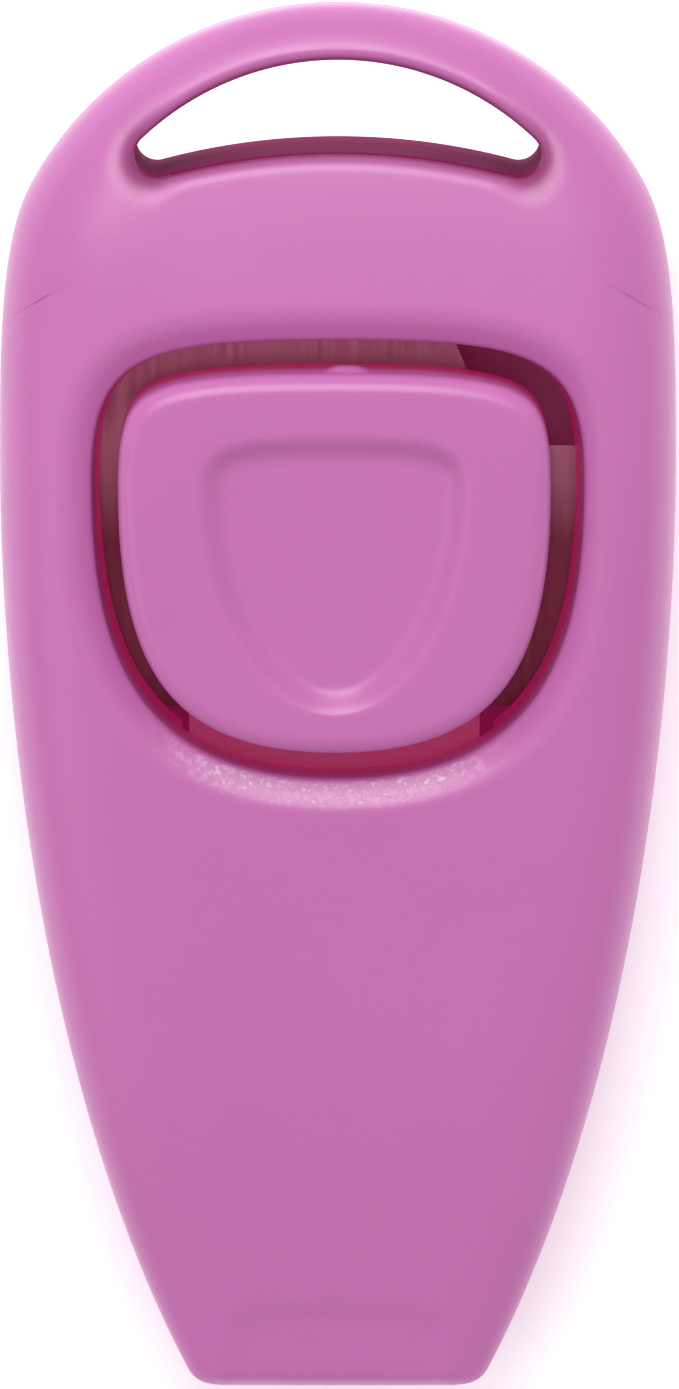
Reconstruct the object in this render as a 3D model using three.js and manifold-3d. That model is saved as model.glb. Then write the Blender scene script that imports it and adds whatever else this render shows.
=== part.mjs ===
// Two-in-one pet trainer: a clicker worked by the thumb and a pea-less whistle in one moulded case.
// Millimetres. X is the width, +Y the lanyard end, -Y the mouthpiece, +Z the face with the button.
// The flat back lies on Z = 0.
import * as THREE from "three";
import { mergeVertices } from "three/addons/utils/BufferGeometryUtils.js";
import Module from "manifold-3d";

const wasm = await Module();
wasm.setup();

// ---- Driving dimensions ----

// Outline of the case in plan
const bodyLength = 80;
const bodyWidth = 38.7;
const crownRadius = 20; // round lanyard end
const shoulderAngle = 0.505; // where the crown arc ends, above the horizontal, radians
const widestFromCrown = 26; // the widest place, measured from the lanyard end
const mouthWidth = 17.4;
const mouthTaper = 0.476; // lean of the sides at the mouthpiece, radians
const mouthCorner = 1.15; // how far up the side the mouthpiece corner starts
const mouthCornerReach = 2.2; // how far along the end the corner starts
const mouthBow = 0.16; // the end's corners stand back from its middle
const shoulderFullness = [0.45, 0.23]; // handles of the shoulder curve over its height
const sideFullness = [0.323, 0.301]; // handles of the side curve over its height

// Heights above the back
const partingHeight = 6; // plane where the two halves meet
const facePeak = 13.2; // highest line of the front face
const facePeakFromCrown = 28;
const faceCrownPower = 2.2; // how late the long crown of the face starts to fall
const loopEndHeight = 9.2;
const mouthEndHeight = 8.4;
const loopEndLift = 2.2; // the back curves up towards both ends
const mouthEndLift = 2.5;
const flatBackLength = 44;

// Walls, gaps and edge roundings
const wall = 1.6;
const seam = 0.1; // between the two halves
const restGap = 0.05; // between faces that rest on each other
const clearance = 0.3; // between pieces that only stand beside each other
const faceRounding = 8;
const backRounding = 5;
const mouthRounding = 1;
const faceEdgePower = 3.2; // 2 is a quarter ellipse, more is squarer
const backEdgePower = 2.4;

// Lanyard slot, a crescent through both halves
const slotFromCrown = 3.05;
const slotHeight = 5.1; // clear height at the middle
const slotUpperRadius = 16.4;
const slotLowerRadius = 38.6;
const slotEndRadius = 1.2;
const slotFillet = 1;

// Button opening and the dish around it
const openingFromCrown = 18.8;
const openingLength = 25.16;
const openingWidth = 28.06;
const openingShoulder = 8.03; // from its top down to its widest place
const openingFlankFullness = [0.865, 0.535];
const openingShoulderFullness = [0.897, 0.805];
const dishWidth = 2.2;
const dishDepth = 1.05;
const collarWall = 1.4;
const collarDepth = 4; // how far the guide wall reaches below the rim

// Button
const buttonGap = 1.7; // all round, seen as the dark groove
const buttonTop = 14.5;
const buttonHeight = 5.9; // top face to the lower edge of its skirt
const buttonEdge = 1.1;
const buttonWall = 1.5;
const buttonSideShift = -0.2; // the loose button settles to one side
const buttonCeiling = 0.4; // extra thickness above the hollow
const scallopDepth = 0.95;
const scallopSlope = 1.8;
const scallopTopFromButtonTop = 3.6;
const scallopLength = 15.8;
const scallopWidth = 15.3;
const scallopShoulder = 0.19; // from its top down to its widest place, over its length
const scallopFullness = [0.44, 0.5, 0.65];
const scallopSlopeBreak = [0.45, 0.65]; // width and depth of the steep upper part of its slope
const pusherRadius = 2.4;
const ribWidth = 1.2;
const ribFromSkirt = 1; // ribs stop this far above the skirt's edge
const ribReach = [8, 6]; // long rib, below and above the pusher

// Pivot of the button, under the face on the mouthpiece side
const pivotBelowOpening = 3.6;
const pivotHeight = 8.6;
const trunnionRadius = 1.2;
const trunnionSpan = 23;
const trunnionPlay = 0.15;
const tongueWidth = 16.6;
const tongueThickness = 1.6;
const saddleLength = 3; // along X
const saddleDepth = 3.4; // along Y
const tongueRoot = 3; // how far the tongue runs in under the button

// Click plate
const plateThickness = 0.3;
const plateHeight = 5.65; // underside
const plateWidth = 28.4;
const plateTailWidth = 16.7;
const plateTailX = 6.2; // right edge of the tail
const plateNotchX = 9.3; // the corner beyond this is cut away
const plateNotchFromOpening = 6.7; // how far the notch reaches below the opening's top
const plateSlantPast = 0.4; // the notch's slanted edge meets the tail this far above the opening
const plateTailFromCrown = 12.6;
const plateSetback = 1; // the ear stops this far below the opening's top
const domeRadius = 5.5;
const domeHeight = 0.8;
const domeFromOpening = 11.2;
const plateFromOpening = 3.4; // lower edge of the plate above the opening's bottom
const railWidth = 1.5;
const railSetback = 1; // rails stop short of the plate's edges

// Plate clamp
const clampWidth = 15.4;
const clampDepth = 4.2;
const clampHeight = 2;
const clampScrewSpacing = 11;

// Screws
const screwRadius = 1;
const screwHeadRadius = 1.9;
const screwHeadHeight = 1.25;
const screwDriveWidth = 0.5;
const screwDriveDepth = 0.8;
const screwHoleGap = 0.2; // radial, round the shank
const bossRadius = 2.5;
const caseScrewLength = 7.4;
const caseScrewSeat = 2.2; // height of the head's seat above the back
const clampScrewLength = 5.4;
const bossFromWall = 0.7;
const upperBossFromCrown = 15.1;
const lowerBossFromMouth = 27;

// Whistle
const windwayWidth = 9.6;
const windwayHeight = 1.2;
const blockFromMouth = 1.7;
const windowFromMouth = 9.7;
const windowLength = 4.6;
const windowWidth = 10;
const soundEdge = 0.4; // thickness left at the sharp edge
const soundRamp = 5;
const bulkheadFromMouth = 22.8;
const bulkheadThickness = 1.2;
const lipStepFromMouth = 5.4;
const lipStepDrop = 0.3;
const lipStepWidth = 12.8;
const lipStepArch = 0.6; // its middle stands this much higher than its ends
const lipStepRun = 0.8;
const lipStepFade = 2; // at each side

// ---- Values worked out from them ----

const crownY = bodyLength / 2;
const mouthY = -bodyLength / 2;
const openingTopY = crownY - openingFromCrown;
const openingBottomY = openingTopY - openingLength;
const openingWidestY = openingTopY - openingShoulder;
const pivotY = openingBottomY - pivotBelowOpening;
const domeY = openingTopY - domeFromOpening;
const plateTop = plateHeight + plateThickness;
const clampBase = plateTop + restGap;
const clampTop = clampBase + clampHeight;
const clampY = crownY - plateTailFromCrown - clampDepth / 2;
const clampMiddleX = plateTailX - plateTailWidth / 2;
const windowY = mouthY + windowFromMouth + windowLength / 2;
const blockEndY = mouthY + windowFromMouth;

// ---- Solids ----

/** A closed three.js geometry as a solid that can be cut and joined. */
function solidOf(geometry) {
  const bare = geometry.clone();
  bare.deleteAttribute("normal");
  bare.deleteAttribute("uv");
  const merged = mergeVertices(bare, 1e-4);
  const mesh = new wasm.Mesh({
    numProp: 3,
    vertProperties: new Float32Array(merged.attributes.position.array),
    triVerts: new Uint32Array(merged.index.array),
  });
  return new wasm.Manifold(mesh);
}

/** A solid back as a three.js geometry. */
function geometryOf(solid) {
  const mesh = solid.getMesh();
  const positions = new THREE.BufferAttribute(mesh.vertProperties, 3);
  const geometry = new THREE.BufferGeometry().setAttribute("position", positions);
  geometry.setIndex(new THREE.BufferAttribute(mesh.triVerts, 1));
  geometry.computeVertexNormals();
  return geometry;
}

function joined(solids) {
  return solids.reduce((whole, solid) => whole.add(solid));
}

function cut(solid, tools) {
  return tools.reduce((whole, tool) => whole.subtract(tool), solid);
}

function box(low, high) {
  const size = high.map((value, axis) => value - low[axis]);
  const geometry = new THREE.BoxGeometry(...size);
  geometry.translate(...low.map((value, axis) => value + size[axis] / 2));
  return solidOf(geometry);
}

/** Upright round bar between two heights. */
function bar(radius, x, y, low, high, sides = 16) {
  const geometry = new THREE.CylinderGeometry(radius, radius, high - low, sides);
  geometry.rotateX(Math.PI / 2);
  geometry.translate(x, y, (low + high) / 2);
  return solidOf(geometry);
}

/** Round bar along X, centred on x. */
function crossBar(radius, x, y, z, length, sides = 20) {
  const geometry = new THREE.CylinderGeometry(radius, radius, length, sides);
  geometry.rotateZ(Math.PI / 2);
  geometry.translate(x, y, z);
  return solidOf(geometry);
}

/**
 * Closed solid through stacked rings of [x, y, z] points, lowest ring first.
 * The ends are filled from side to side where the rings are mirrored loops, and by triangulation if not.
 */
function loft(rings, mirroredRings = true) {
  const count = rings[0].length;
  const faces = [];
  for (let level = 0; level + 1 < rings.length; level++) {
    for (let i = 0; i < count; i++) {
      const a = level * count + i;
      const b = level * count + ((i + 1) % count);
      faces.push(a, b, b + count, a, b + count, a + count);
    }
  }
  for (const level of [0, rings.length - 1]) {
    const contour = rings[level].map(([x, y]) => new THREE.Vector2(x, y));
    const fill = mirroredRings
      ? sideToSide(count)
      : THREE.ShapeUtils.triangulateShape(contour, []);
    for (const [a, b, c] of fill) {
      const area = THREE.ShapeUtils.area([contour[a], contour[b], contour[c]]);
      const corners = area > 0 === level > 0 ? [a, b, c] : [a, c, b];
      faces.push(...corners.map((corner) => corner + level * count));
    }
  }
  const geometry = new THREE.BufferGeometry();
  geometry.setAttribute("position", new THREE.Float32BufferAttribute(rings.flat(2), 3));
  geometry.setIndex(faces);
  return solidOf(geometry);
}

/** Triangles across a mirrored loop, whose point i faces point count - i. */
function sideToSide(count) {
  const faces = [[0, 1, count - 1]];
  for (let i = 1; i < count / 2 - 1; i++) {
    faces.push([i, i + 1, count - i], [i + 1, count - i - 1, count - i]);
  }
  faces.push([count / 2 - 1, count / 2, count / 2 + 1]);
  return faces;
}

/** Straight-sided solid on a closed plan loop. */
function prism(loop, low, high, mirroredRings = true) {
  return loft([low, high].map((z) => atHeight(loop, z)), mirroredRings);
}

function atHeight(loop, height) {
  return loop.map(([x, y]) => [x, y, typeof height === "function" ? height(x, y) : height]);
}

// ---- Plan loops, counter-clockwise ----

/** Points along a run of [curve, steps] pairs, without the last one. */
function sampled(run) {
  return run.flatMap(([curve, steps]) =>
    curve.getPoints(steps).slice(0, -1).map(({ x, y }) => [x, y]),
  );
}

/** A loop that is the same left and right, from its right half listed bottom to top. */
function mirrored(rightHalf) {
  const left = rightHalf.slice(1, -1).reverse().map(([x, y]) => [-x, y]);
  return [...rightHalf, ...left];
}

function bezier(...points) {
  const Curve = points.length === 4 ? THREE.CubicBezierCurve : THREE.QuadraticBezierCurve;
  return new Curve(...points.map(([x, y]) => new THREE.Vector2(x, y)));
}

/** The loop moved inwards by a distance, or outwards where it is negative. */
function inset(loop, distance) {
  return loop.map(([x, y], i) => {
    const [px, py] = loop[(i + loop.length - 1) % loop.length];
    const [nx, ny] = loop[(i + 1) % loop.length];
    const before = new THREE.Vector2(x - px, y - py).normalize();
    const after = new THREE.Vector2(nx - x, ny - y).normalize();
    const along = before.add(after).normalize();
    return [x - along.y * distance, y + along.x * distance];
  });
}

// Side of the case: crown, shoulder and the long taper, from the top of the crown down.
const crownCentreY = crownY - crownRadius;
const shoulderPoint = [
  crownRadius * Math.cos(shoulderAngle),
  crownCentreY + crownRadius * Math.sin(shoulderAngle),
];
const widestPoint = [bodyWidth / 2, crownY - widestFromCrown];
const cornerPoint = [mouthWidth / 2, mouthY + mouthCorner];
const shoulderRun = shoulderPoint[1] - widestPoint[1];
const sideRun = widestPoint[1] - cornerPoint[1];
const shoulderCurve = bezier(
  widestPoint,
  [widestPoint[0], widestPoint[1] + shoulderFullness[0] * shoulderRun],
  [
    shoulderPoint[0] + shoulderFullness[1] * shoulderRun * Math.sin(shoulderAngle),
    shoulderPoint[1] - shoulderFullness[1] * shoulderRun * Math.cos(shoulderAngle),
  ],
  shoulderPoint,
);
const sideCurve = bezier(
  cornerPoint,
  [
    cornerPoint[0] + sideFullness[0] * sideRun * Math.sin(mouthTaper),
    cornerPoint[1] + sideFullness[0] * sideRun * Math.cos(mouthTaper),
  ],
  [widestPoint[0], widestPoint[1] - sideFullness[1] * sideRun],
  widestPoint,
);
const crownCurve = new THREE.EllipseCurve(
  0, crownCentreY, crownRadius, crownRadius, shoulderAngle, Math.PI / 2, false,
);

function bodyOutline() {
  const lean = Math.tan(mouthTaper) * mouthCorner;
  const endCorner = [cornerPoint[0] - lean, mouthY + mouthBow];
  const endFlat = [cornerPoint[0] - mouthCornerReach, mouthY + mouthBow];
  return mirrored([
    ...sampled([
      [bezier([0, mouthY], [endFlat[0] / 2, mouthY], endFlat), 2],
      [bezier(endFlat, endCorner, cornerPoint), 3],
      [sideCurve, 12],
      [shoulderCurve, 5],
      [crownCurve, 9],
    ]),
    [0, crownY],
  ]);
}

function openingLoop() {
  const halfWidth = openingWidth / 2;
  const lower = openingWidestY - openingBottomY;
  return mirrored([
    ...sampled([
      [
        bezier(
          [0, openingBottomY],
          [openingFlankFullness[0] * halfWidth, openingBottomY],
          [halfWidth, openingWidestY - openingFlankFullness[1] * lower],
          [halfWidth, openingWidestY],
        ),
        15,
      ],
      [
        bezier(
          [halfWidth, openingWidestY],
          [halfWidth, openingWidestY + openingShoulderFullness[0] * openingShoulder],
          [openingShoulderFullness[1] * halfWidth, openingTopY],
          [0, openingTopY],
        ),
        13,
      ],
    ]),
    [0, openingTopY],
  ]);
}

function scallopLoop() {
  const top = openingTopY - buttonGap - scallopTopFromButtonTop;
  const bottom = top - scallopLength;
  const halfWidth = scallopWidth / 2;
  const widest = top - scallopShoulder * scallopLength;
  const [endShare, flankShare, topShare] = scallopFullness;
  return mirrored([
    ...sampled([
      [
        bezier(
          [0, bottom],
          [endShare * halfWidth, bottom],
          [halfWidth, widest - flankShare * (widest - bottom)],
          [halfWidth, widest],
        ),
        9,
      ],
      [bezier([halfWidth, widest], [halfWidth, top], [topShare * halfWidth, top], [0, top]), 7],
    ]),
    [0, top],
  ]);
}

/** Crescent between two arcs, with ends rounded by a circle that touches both. */
function slotLoop() {
  const top = crownY - slotFromCrown;
  const upperY = top - slotUpperRadius;
  const lowerY = top - slotHeight - slotLowerRadius;
  const toUpper = slotUpperRadius - slotEndRadius;
  const toLower = slotLowerRadius + slotEndRadius;
  const apart = upperY - lowerY;
  const endY = (toLower ** 2 - toUpper ** 2 + upperY ** 2 - lowerY ** 2) / (2 * apart);
  const endX = Math.sqrt(toUpper ** 2 - (endY - upperY) ** 2);
  const upperAngle = Math.atan2(endY - upperY, endX);
  const lowerAngle = Math.atan2(endY - lowerY, endX);
  const arc = (x, y, radius, from, to) =>
    new THREE.EllipseCurve(x, y, radius, radius, from, to, to < from);
  return sampled([
    [arc(0, lowerY, slotLowerRadius, Math.PI - lowerAngle, lowerAngle), 12],
    [arc(endX, endY, slotEndRadius, lowerAngle - Math.PI, upperAngle), 4],
    [arc(0, upperY, slotUpperRadius, upperAngle, Math.PI - upperAngle), 16],
    [arc(-endX, endY, slotEndRadius, Math.PI - upperAngle, 2 * Math.PI - lowerAngle), 4],
  ]);
}

const outline = bodyOutline();
const opening = openingLoop();
const slot = slotLoop();

// ---- Height of the case's faces ----

// The right side from the crown to past the mouthpiece, which it meets in a straight line.
const sideLine = [
  ...crownCurve.getPoints(24).reverse(),
  ...shoulderCurve.getPoints(12).reverse().slice(1),
  ...sideCurve.getPoints(30).reverse().slice(1),
  new THREE.Vector2(
    cornerPoint[0] - bodyWidth * Math.sin(mouthTaper),
    cornerPoint[1] - bodyWidth * Math.cos(mouthTaper),
  ),
];

function distanceToSide(x, y) {
  const point = new THREE.Vector3(Math.abs(x), y, 0);
  const nearest = new THREE.Vector3();
  const segment = new THREE.Line3();
  let best = Infinity;
  for (let i = 0; i + 1 < sideLine.length; i++) {
    segment.start.set(sideLine[i].x, sideLine[i].y, 0);
    segment.end.set(sideLine[i + 1].x, sideLine[i + 1].y, 0);
    segment.closestPointToPoint(point, true, nearest);
    best = Math.min(best, nearest.distanceTo(point));
  }
  return best;
}

/** Share of the full height at a distance in from an edge: 0 on the edge, 1 beyond the rounding. */
function edgeRise(distance, rounding, power) {
  const outside = 1 - Math.min(Math.max(distance, 0) / rounding, 1);
  return (1 - outside ** power) ** (1 / power);
}

/** Front face: a long crown from the peak to both ends, rounded down at the sides and the mouthpiece. */
function faceHeight(x, y) {
  const peakY = crownY - facePeakFromCrown;
  const end = y > peakY ? loopEndHeight : mouthEndHeight;
  const run = y > peakY ? crownY - peakY : peakY - mouthY;
  const crown = facePeak - (facePeak - end) * Math.min(Math.abs(y - peakY) / run, 1) ** faceCrownPower;
  const rise = edgeRise(distanceToSide(x, y), faceRounding, faceEdgePower) *
    edgeRise(y - mouthY, mouthRounding, 2);
  return partingHeight + (crown - partingHeight) * rise - lipStep(x, y);
}

/** Shallow step across the mouthpiece, where the lips close. */
function lipStep(x, y) {
  const edgeY = mouthY + lipStepFromMouth - (2 * x / lipStepWidth) ** 2 * lipStepArch;
  const across = edgeRise(lipStepWidth / 2 - Math.abs(x), lipStepFade, 2);
  return lipStepDrop * across * THREE.MathUtils.smoothstep(edgeY - y, 0, lipStepRun);
}

/** Back face: flat in the middle, curving up at both ends and rounded up at the sides. */
function backHeight(x, y) {
  const past = Math.max(Math.abs(y) - flatBackLength / 2, 0);
  const run = (bodyLength - flatBackLength) / 2;
  const base = (y > 0 ? loopEndLift : mouthEndLift) * (past / run) ** 2;
  const rise = edgeRise(distanceToSide(x, y), backRounding, backEdgePower) *
    edgeRise(y - mouthY, mouthRounding, 2);
  return partingHeight - (partingHeight - base) * rise;
}

/** Rings from a loop towards the middle line of the case, for a smoothly domed face. */
function inwardRings(loop, insets, shares) {
  const last = inset(loop, insets.at(-1));
  const towardsMiddle = shares.map((share) =>
    last.map(([x, y]) => {
      const middleY = THREE.MathUtils.clamp(y, mouthY + mouthWidth / 2, crownCentreY);
      return [x * (1 - share), y + (middleY - y) * share];
    }),
  );
  return [...insets.map((distance) => inset(loop, distance)), ...towardsMiddle];
}

const faceInsets = [0.02, 0.15, 0.6, 1.4];
const faceShares = [0.15, 0.38, 0.68, 0.93];

// Everything inside the case stays this side of the wall below the slot.
function cavityLimit() {
  const lowerY = crownY - slotFromCrown - slotHeight - slotLowerRadius;
  const belowSlot = bar(slotLowerRadius - wall, 0, lowerY, -1, facePeak + 1, 120);
  return belowSlot.add(box([-bodyWidth, mouthY, -1], [bodyWidth, lowerY, facePeak + 1]));
}

function frontOuter() {
  const rings = inwardRings(outline, faceInsets, faceShares);
  return loft([
    atHeight(outline, partingHeight + seam / 2),
    ...rings.map((ring) => atHeight(ring, (x, y) =>
      Math.max(faceHeight(x, y), partingHeight + seam))),
  ]);
}

function frontCavity() {
  const inner = inset(outline, wall);
  const ceiling = (x, y) => faceHeight(x, y) - wall;
  const rings = inwardRings(inner, [0.02], [0.15, 0.4, 0.7, 0.93]);
  return loft([atHeight(inner, partingHeight - 1), ...rings.map((r) => atHeight(r, ceiling))])
    .intersect(cavityLimit());
}

function rearOuter() {
  const rings = inwardRings(outline, faceInsets, faceShares).reverse();
  return loft([
    ...rings.map((ring) => atHeight(ring, (x, y) =>
      Math.min(backHeight(x, y), partingHeight - seam))),
    atHeight(outline, partingHeight - seam / 2),
  ]);
}

function rearCavity() {
  const inner = inset(outline, wall);
  const floor = (x, y) => backHeight(x, y) + wall;
  const rings = inwardRings(inner, [0.02], [0.06, 0.18, 0.5, 0.93]).reverse();
  return loft([...rings.map((r) => atHeight(r, floor)), atHeight(inner, partingHeight + 1)])
    .intersect(cavityLimit());
}

// ---- Where the screws stand ----

function bossPlaces() {
  const places = [crownY - upperBossFromCrown, mouthY + lowerBossFromMouth].map((y) => {
    const reach = wall + bossFromWall + bossRadius;
    let x = bodyWidth / 2 - reach;
    while (distanceToSide(x, y) < reach) x -= 0.1;
    return [x, y];
  });
  return places.flatMap(([x, y]) => [[x, y], [-x, y]]);
}

const bosses = bossPlaces();
const clampScrews = [-1, 1].map((side) => [clampMiddleX + side * clampScrewSpacing / 2, clampY]);

// ---- Cutters that follow the faces ----

/** The button opening with its dish: straight up to the rim, then flaring out to the face. */
function dishCutter() {
  const steps = [0, 0.25, 0.5, 0.75, 1];
  const flare = steps.map((share) => {
    const drop = dishDepth * (1 - share) ** 2;
    return atHeight(inset(opening, -dishWidth * share), (x, y) => faceHeight(x, y) - drop);
  });
  flare[steps.length - 1] = flare.at(-1).map(([x, y, z]) => [x, y, z + restGap]);
  const above = inset(opening, -dishWidth);
  return loft([atHeight(opening, partingHeight), ...flare, atHeight(above, facePeak + 2)]);
}

/** Slot with its edges rounded where it meets a face. direction is 1 for the front, -1 for the back. */
function slotCutter(face, direction) {
  const flare = [0, 0.3, 0.65, 1].map((share) => {
    const drop = slotFillet * (1 - edgeRise(share, 1, 2)) - (share === 1 ? restGap : 0);
    return atHeight(inset(slot, -slotFillet * share), (x, y) => face(x, y) - direction * drop);
  });
  const rings = [
    atHeight(slot, partingHeight - direction),
    ...flare,
    atHeight(inset(slot, -slotFillet), direction > 0 ? facePeak + 2 : -2),
  ];
  return loft(direction > 0 ? rings : rings.reverse(), false);
}

// ---- Sub-parts ----

/** Front half of the case: face, slot, dished opening with its guide wall, posts and pivot saddles. */
function frontShell() {
  const outer = frontOuter();
  const base = partingHeight + seam / 2;
  const rim = faceHeight(0, openingBottomY) - dishDepth;
  const collar = prism(inset(opening, -collarWall), rim - collarDepth, facePeak + 1);
  const posts = bosses.map(([x, y]) => bar(bossRadius, x, y, base, facePeak));
  const saddles = [-1, 1].map((side) => {
    const x = (side * (trunnionSpan - saddleLength)) / 2;
    return box(
      [x - saddleLength / 2, pivotY - saddleDepth / 2, pivotHeight - trunnionRadius],
      [x + saddleLength / 2, pivotY + saddleDepth / 2, facePeak],
    );
  });
  const bulkheadY = mouthY + bulkheadFromMouth;
  const bulkhead = box(
    [-bodyWidth, bulkheadY - bulkheadThickness / 2, base],
    [bodyWidth, bulkheadY + bulkheadThickness / 2, facePeak],
  );
  const inside = joined([collar, ...posts, ...saddles, bulkhead]).intersect(outer);
  const hollow = outer.subtract(frontCavity()).add(inside);
  const tongueTop = pivotHeight + tongueThickness / 2;
  const tongueNotch = box(
    [-tongueWidth / 2 - 2 * clearance, pivotY - saddleDepth, partingHeight],
    [tongueWidth / 2 + 2 * clearance, openingBottomY + buttonGap + tongueRoot - 1, tongueTop + 2 * restGap],
  );
  const pivotSlot = trunnionRadius + trunnionPlay;
  return cut(hollow, [
    dishCutter(),
    slotCutter(faceHeight, 1),
    tongueNotch,
    crossBar(pivotSlot, 0, pivotY, pivotHeight, trunnionSpan + 2 * clearance),
    box(
      [-trunnionSpan / 2 - clearance, pivotY - pivotSlot, partingHeight],
      [trunnionSpan / 2 + clearance, pivotY + pivotSlot, pivotHeight],
    ),
    ...bosses.map(([x, y]) =>
      bar(screwRadius + screwHoleGap, x, y, partingHeight - 1,
        caseScrewSeat + caseScrewLength + clearance, 12)),
  ]);
}

/** Rear half: flat back, screw wells, plate rails, pivot supports and the outer half of the whistle. */
function rearShell() {
  const outer = rearOuter();
  const top = partingHeight - seam / 2;
  const posts = bosses.map(([x, y]) => bar(bossRadius, x, y, 0, top));
  const clampPosts = clampScrews.map(([x, y]) => bar(bossRadius, x, y, 0, plateHeight - restGap));
  const railStart = openingBottomY + plateFromOpening + railSetback;
  const railEnd = openingTopY - plateNotchFromOpening - railSetback;
  const rails = [-1, 1].map((side) => {
    const x = (side * (plateWidth - railWidth)) / 2;
    return box(
      [x - railWidth / 2, railStart, 0],
      [x + railWidth / 2, railEnd, plateHeight - restGap],
    );
  });
  const supports = [-1, 1].map((side) => {
    const x = (side * (trunnionSpan - saddleLength)) / 2;
    return box(
      [x - saddleLength / 2 + clearance, pivotY - saddleDepth / 2, 0],
      [x + saddleLength / 2 - clearance, pivotY + saddleDepth / 2,
        pivotHeight - trunnionRadius - trunnionPlay],
    );
  });
  const bulkheadY = mouthY + bulkheadFromMouth;
  const bulkhead = box(
    [-bodyWidth, bulkheadY - bulkheadThickness / 2, 0],
    [bodyWidth, bulkheadY + bulkheadThickness / 2, top],
  );
  const walls = joined([...posts, ...clampPosts, ...rails, bulkhead]).intersect(outer);
  const tall = joined(supports).intersect(prism(inset(outline, wall), 1, facePeak));
  const windwaySides = [-1, 1].map((side) => windwayRail(side).intersect(outer));
  const hollow = outer.subtract(rearCavity()).add(joined([walls, tall, ...windwaySides]));
  return cut(hollow, [
    slotCutter(backHeight, -1),
    mouthSlot(),
    whistleWindow(),
    ...bosses.map(([x, y]) =>
      bar(screwHeadRadius + screwHoleGap, x, y, -1, caseScrewSeat)),
    ...bosses.map(([x, y]) =>
      bar(screwRadius + screwHoleGap, x, y, 0, partingHeight + 1, 12)),
    ...clampScrews.map(([x, y]) =>
      bar(screwRadius + screwHoleGap, x, y, clampTop - clampScrewLength - clearance, clampTop, 12)),
  ]);
}

/** Height of the windway's outer wall: it follows the inside of the back. */
function windwayFloor(y) {
  return backHeight(0, Math.max(y, mouthY + mouthRounding)) + wall;
}

/** Solid on a side profile of [y, z] points, carried from one x to another. */
function acrossWidth(profile, fromX, toX) {
  const shape = new THREE.Shape(profile.map(([y, z]) => new THREE.Vector2(y, z)));
  const geometry = new THREE.ExtrudeGeometry(shape, { depth: toX - fromX, bevelEnabled: false });
  geometry.applyMatrix4(new THREE.Matrix4().makeBasis(
    new THREE.Vector3(0, 1, 0), new THREE.Vector3(0, 0, 1), new THREE.Vector3(1, 0, 0)));
  geometry.translate(fromX, 0, 0);
  return solidOf(geometry);
}

/** Rail beside the windway that carries the whistle block. */
function windwayRail(side) {
  const inner = windwayWidth / 2;
  const outer = inner + wall;
  const startY = mouthY + blockFromMouth - 0.5;
  const profile = [
    [startY, 0],
    [blockEndY, 0],
    [blockEndY, windwayFloor(blockEndY) + windwayHeight - restGap],
    [startY, windwayFloor(startY) + windwayHeight - restGap],
  ];
  return side > 0 ? acrossWidth(profile, inner, outer) : acrossWidth(profile, -outer, -inner);
}

/** Slit in the mouthpiece's end that the breath goes in by. */
function mouthSlot() {
  const floor = windwayFloor(mouthY + mouthRounding);
  return box(
    [-windwayWidth / 2, mouthY - 1, floor],
    [windwayWidth / 2, mouthY + blockFromMouth + 1, floor + windwayHeight],
  );
}

/** Window in the back, with the ramp outside that leaves the sharp sound edge. */
function whistleWindow() {
  const edgeY = windowY + windowLength / 2;
  const window = box(
    [-windowWidth / 2, windowY - windowLength / 2, -1],
    [windowWidth / 2, edgeY, partingHeight + 1],
  );
  const edgeZ = backHeight(0, edgeY) + wall - soundEdge;
  const ramp = acrossWidth(
    [
      [edgeY - 0.1, -1],
      [edgeY + soundRamp, -1],
      [edgeY + soundRamp, backHeight(0, edgeY + soundRamp)],
      [edgeY - 0.1, edgeZ],
    ],
    -windowWidth / 2,
    windowWidth / 2,
  );
  return window.add(ramp);
}

/** Block that closes the windway on its inner side and directs the breath at the sound edge. */
function whistleBlock() {
  const startY = mouthY + blockFromMouth + clearance / 2;
  const endY = blockEndY;
  const width = windwayWidth + 2 * wall;
  const under = (y) => windwayFloor(y) + windwayHeight;
  const over = (y) => faceHeight(width / 2, y) - wall - clearance;
  return acrossWidth(
    [
      [startY, under(startY)],
      [endY, under(endY)],
      [endY, over(endY)],
      [startY, over(startY)],
    ],
    -width / 2,
    width / 2,
  );
}

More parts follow.
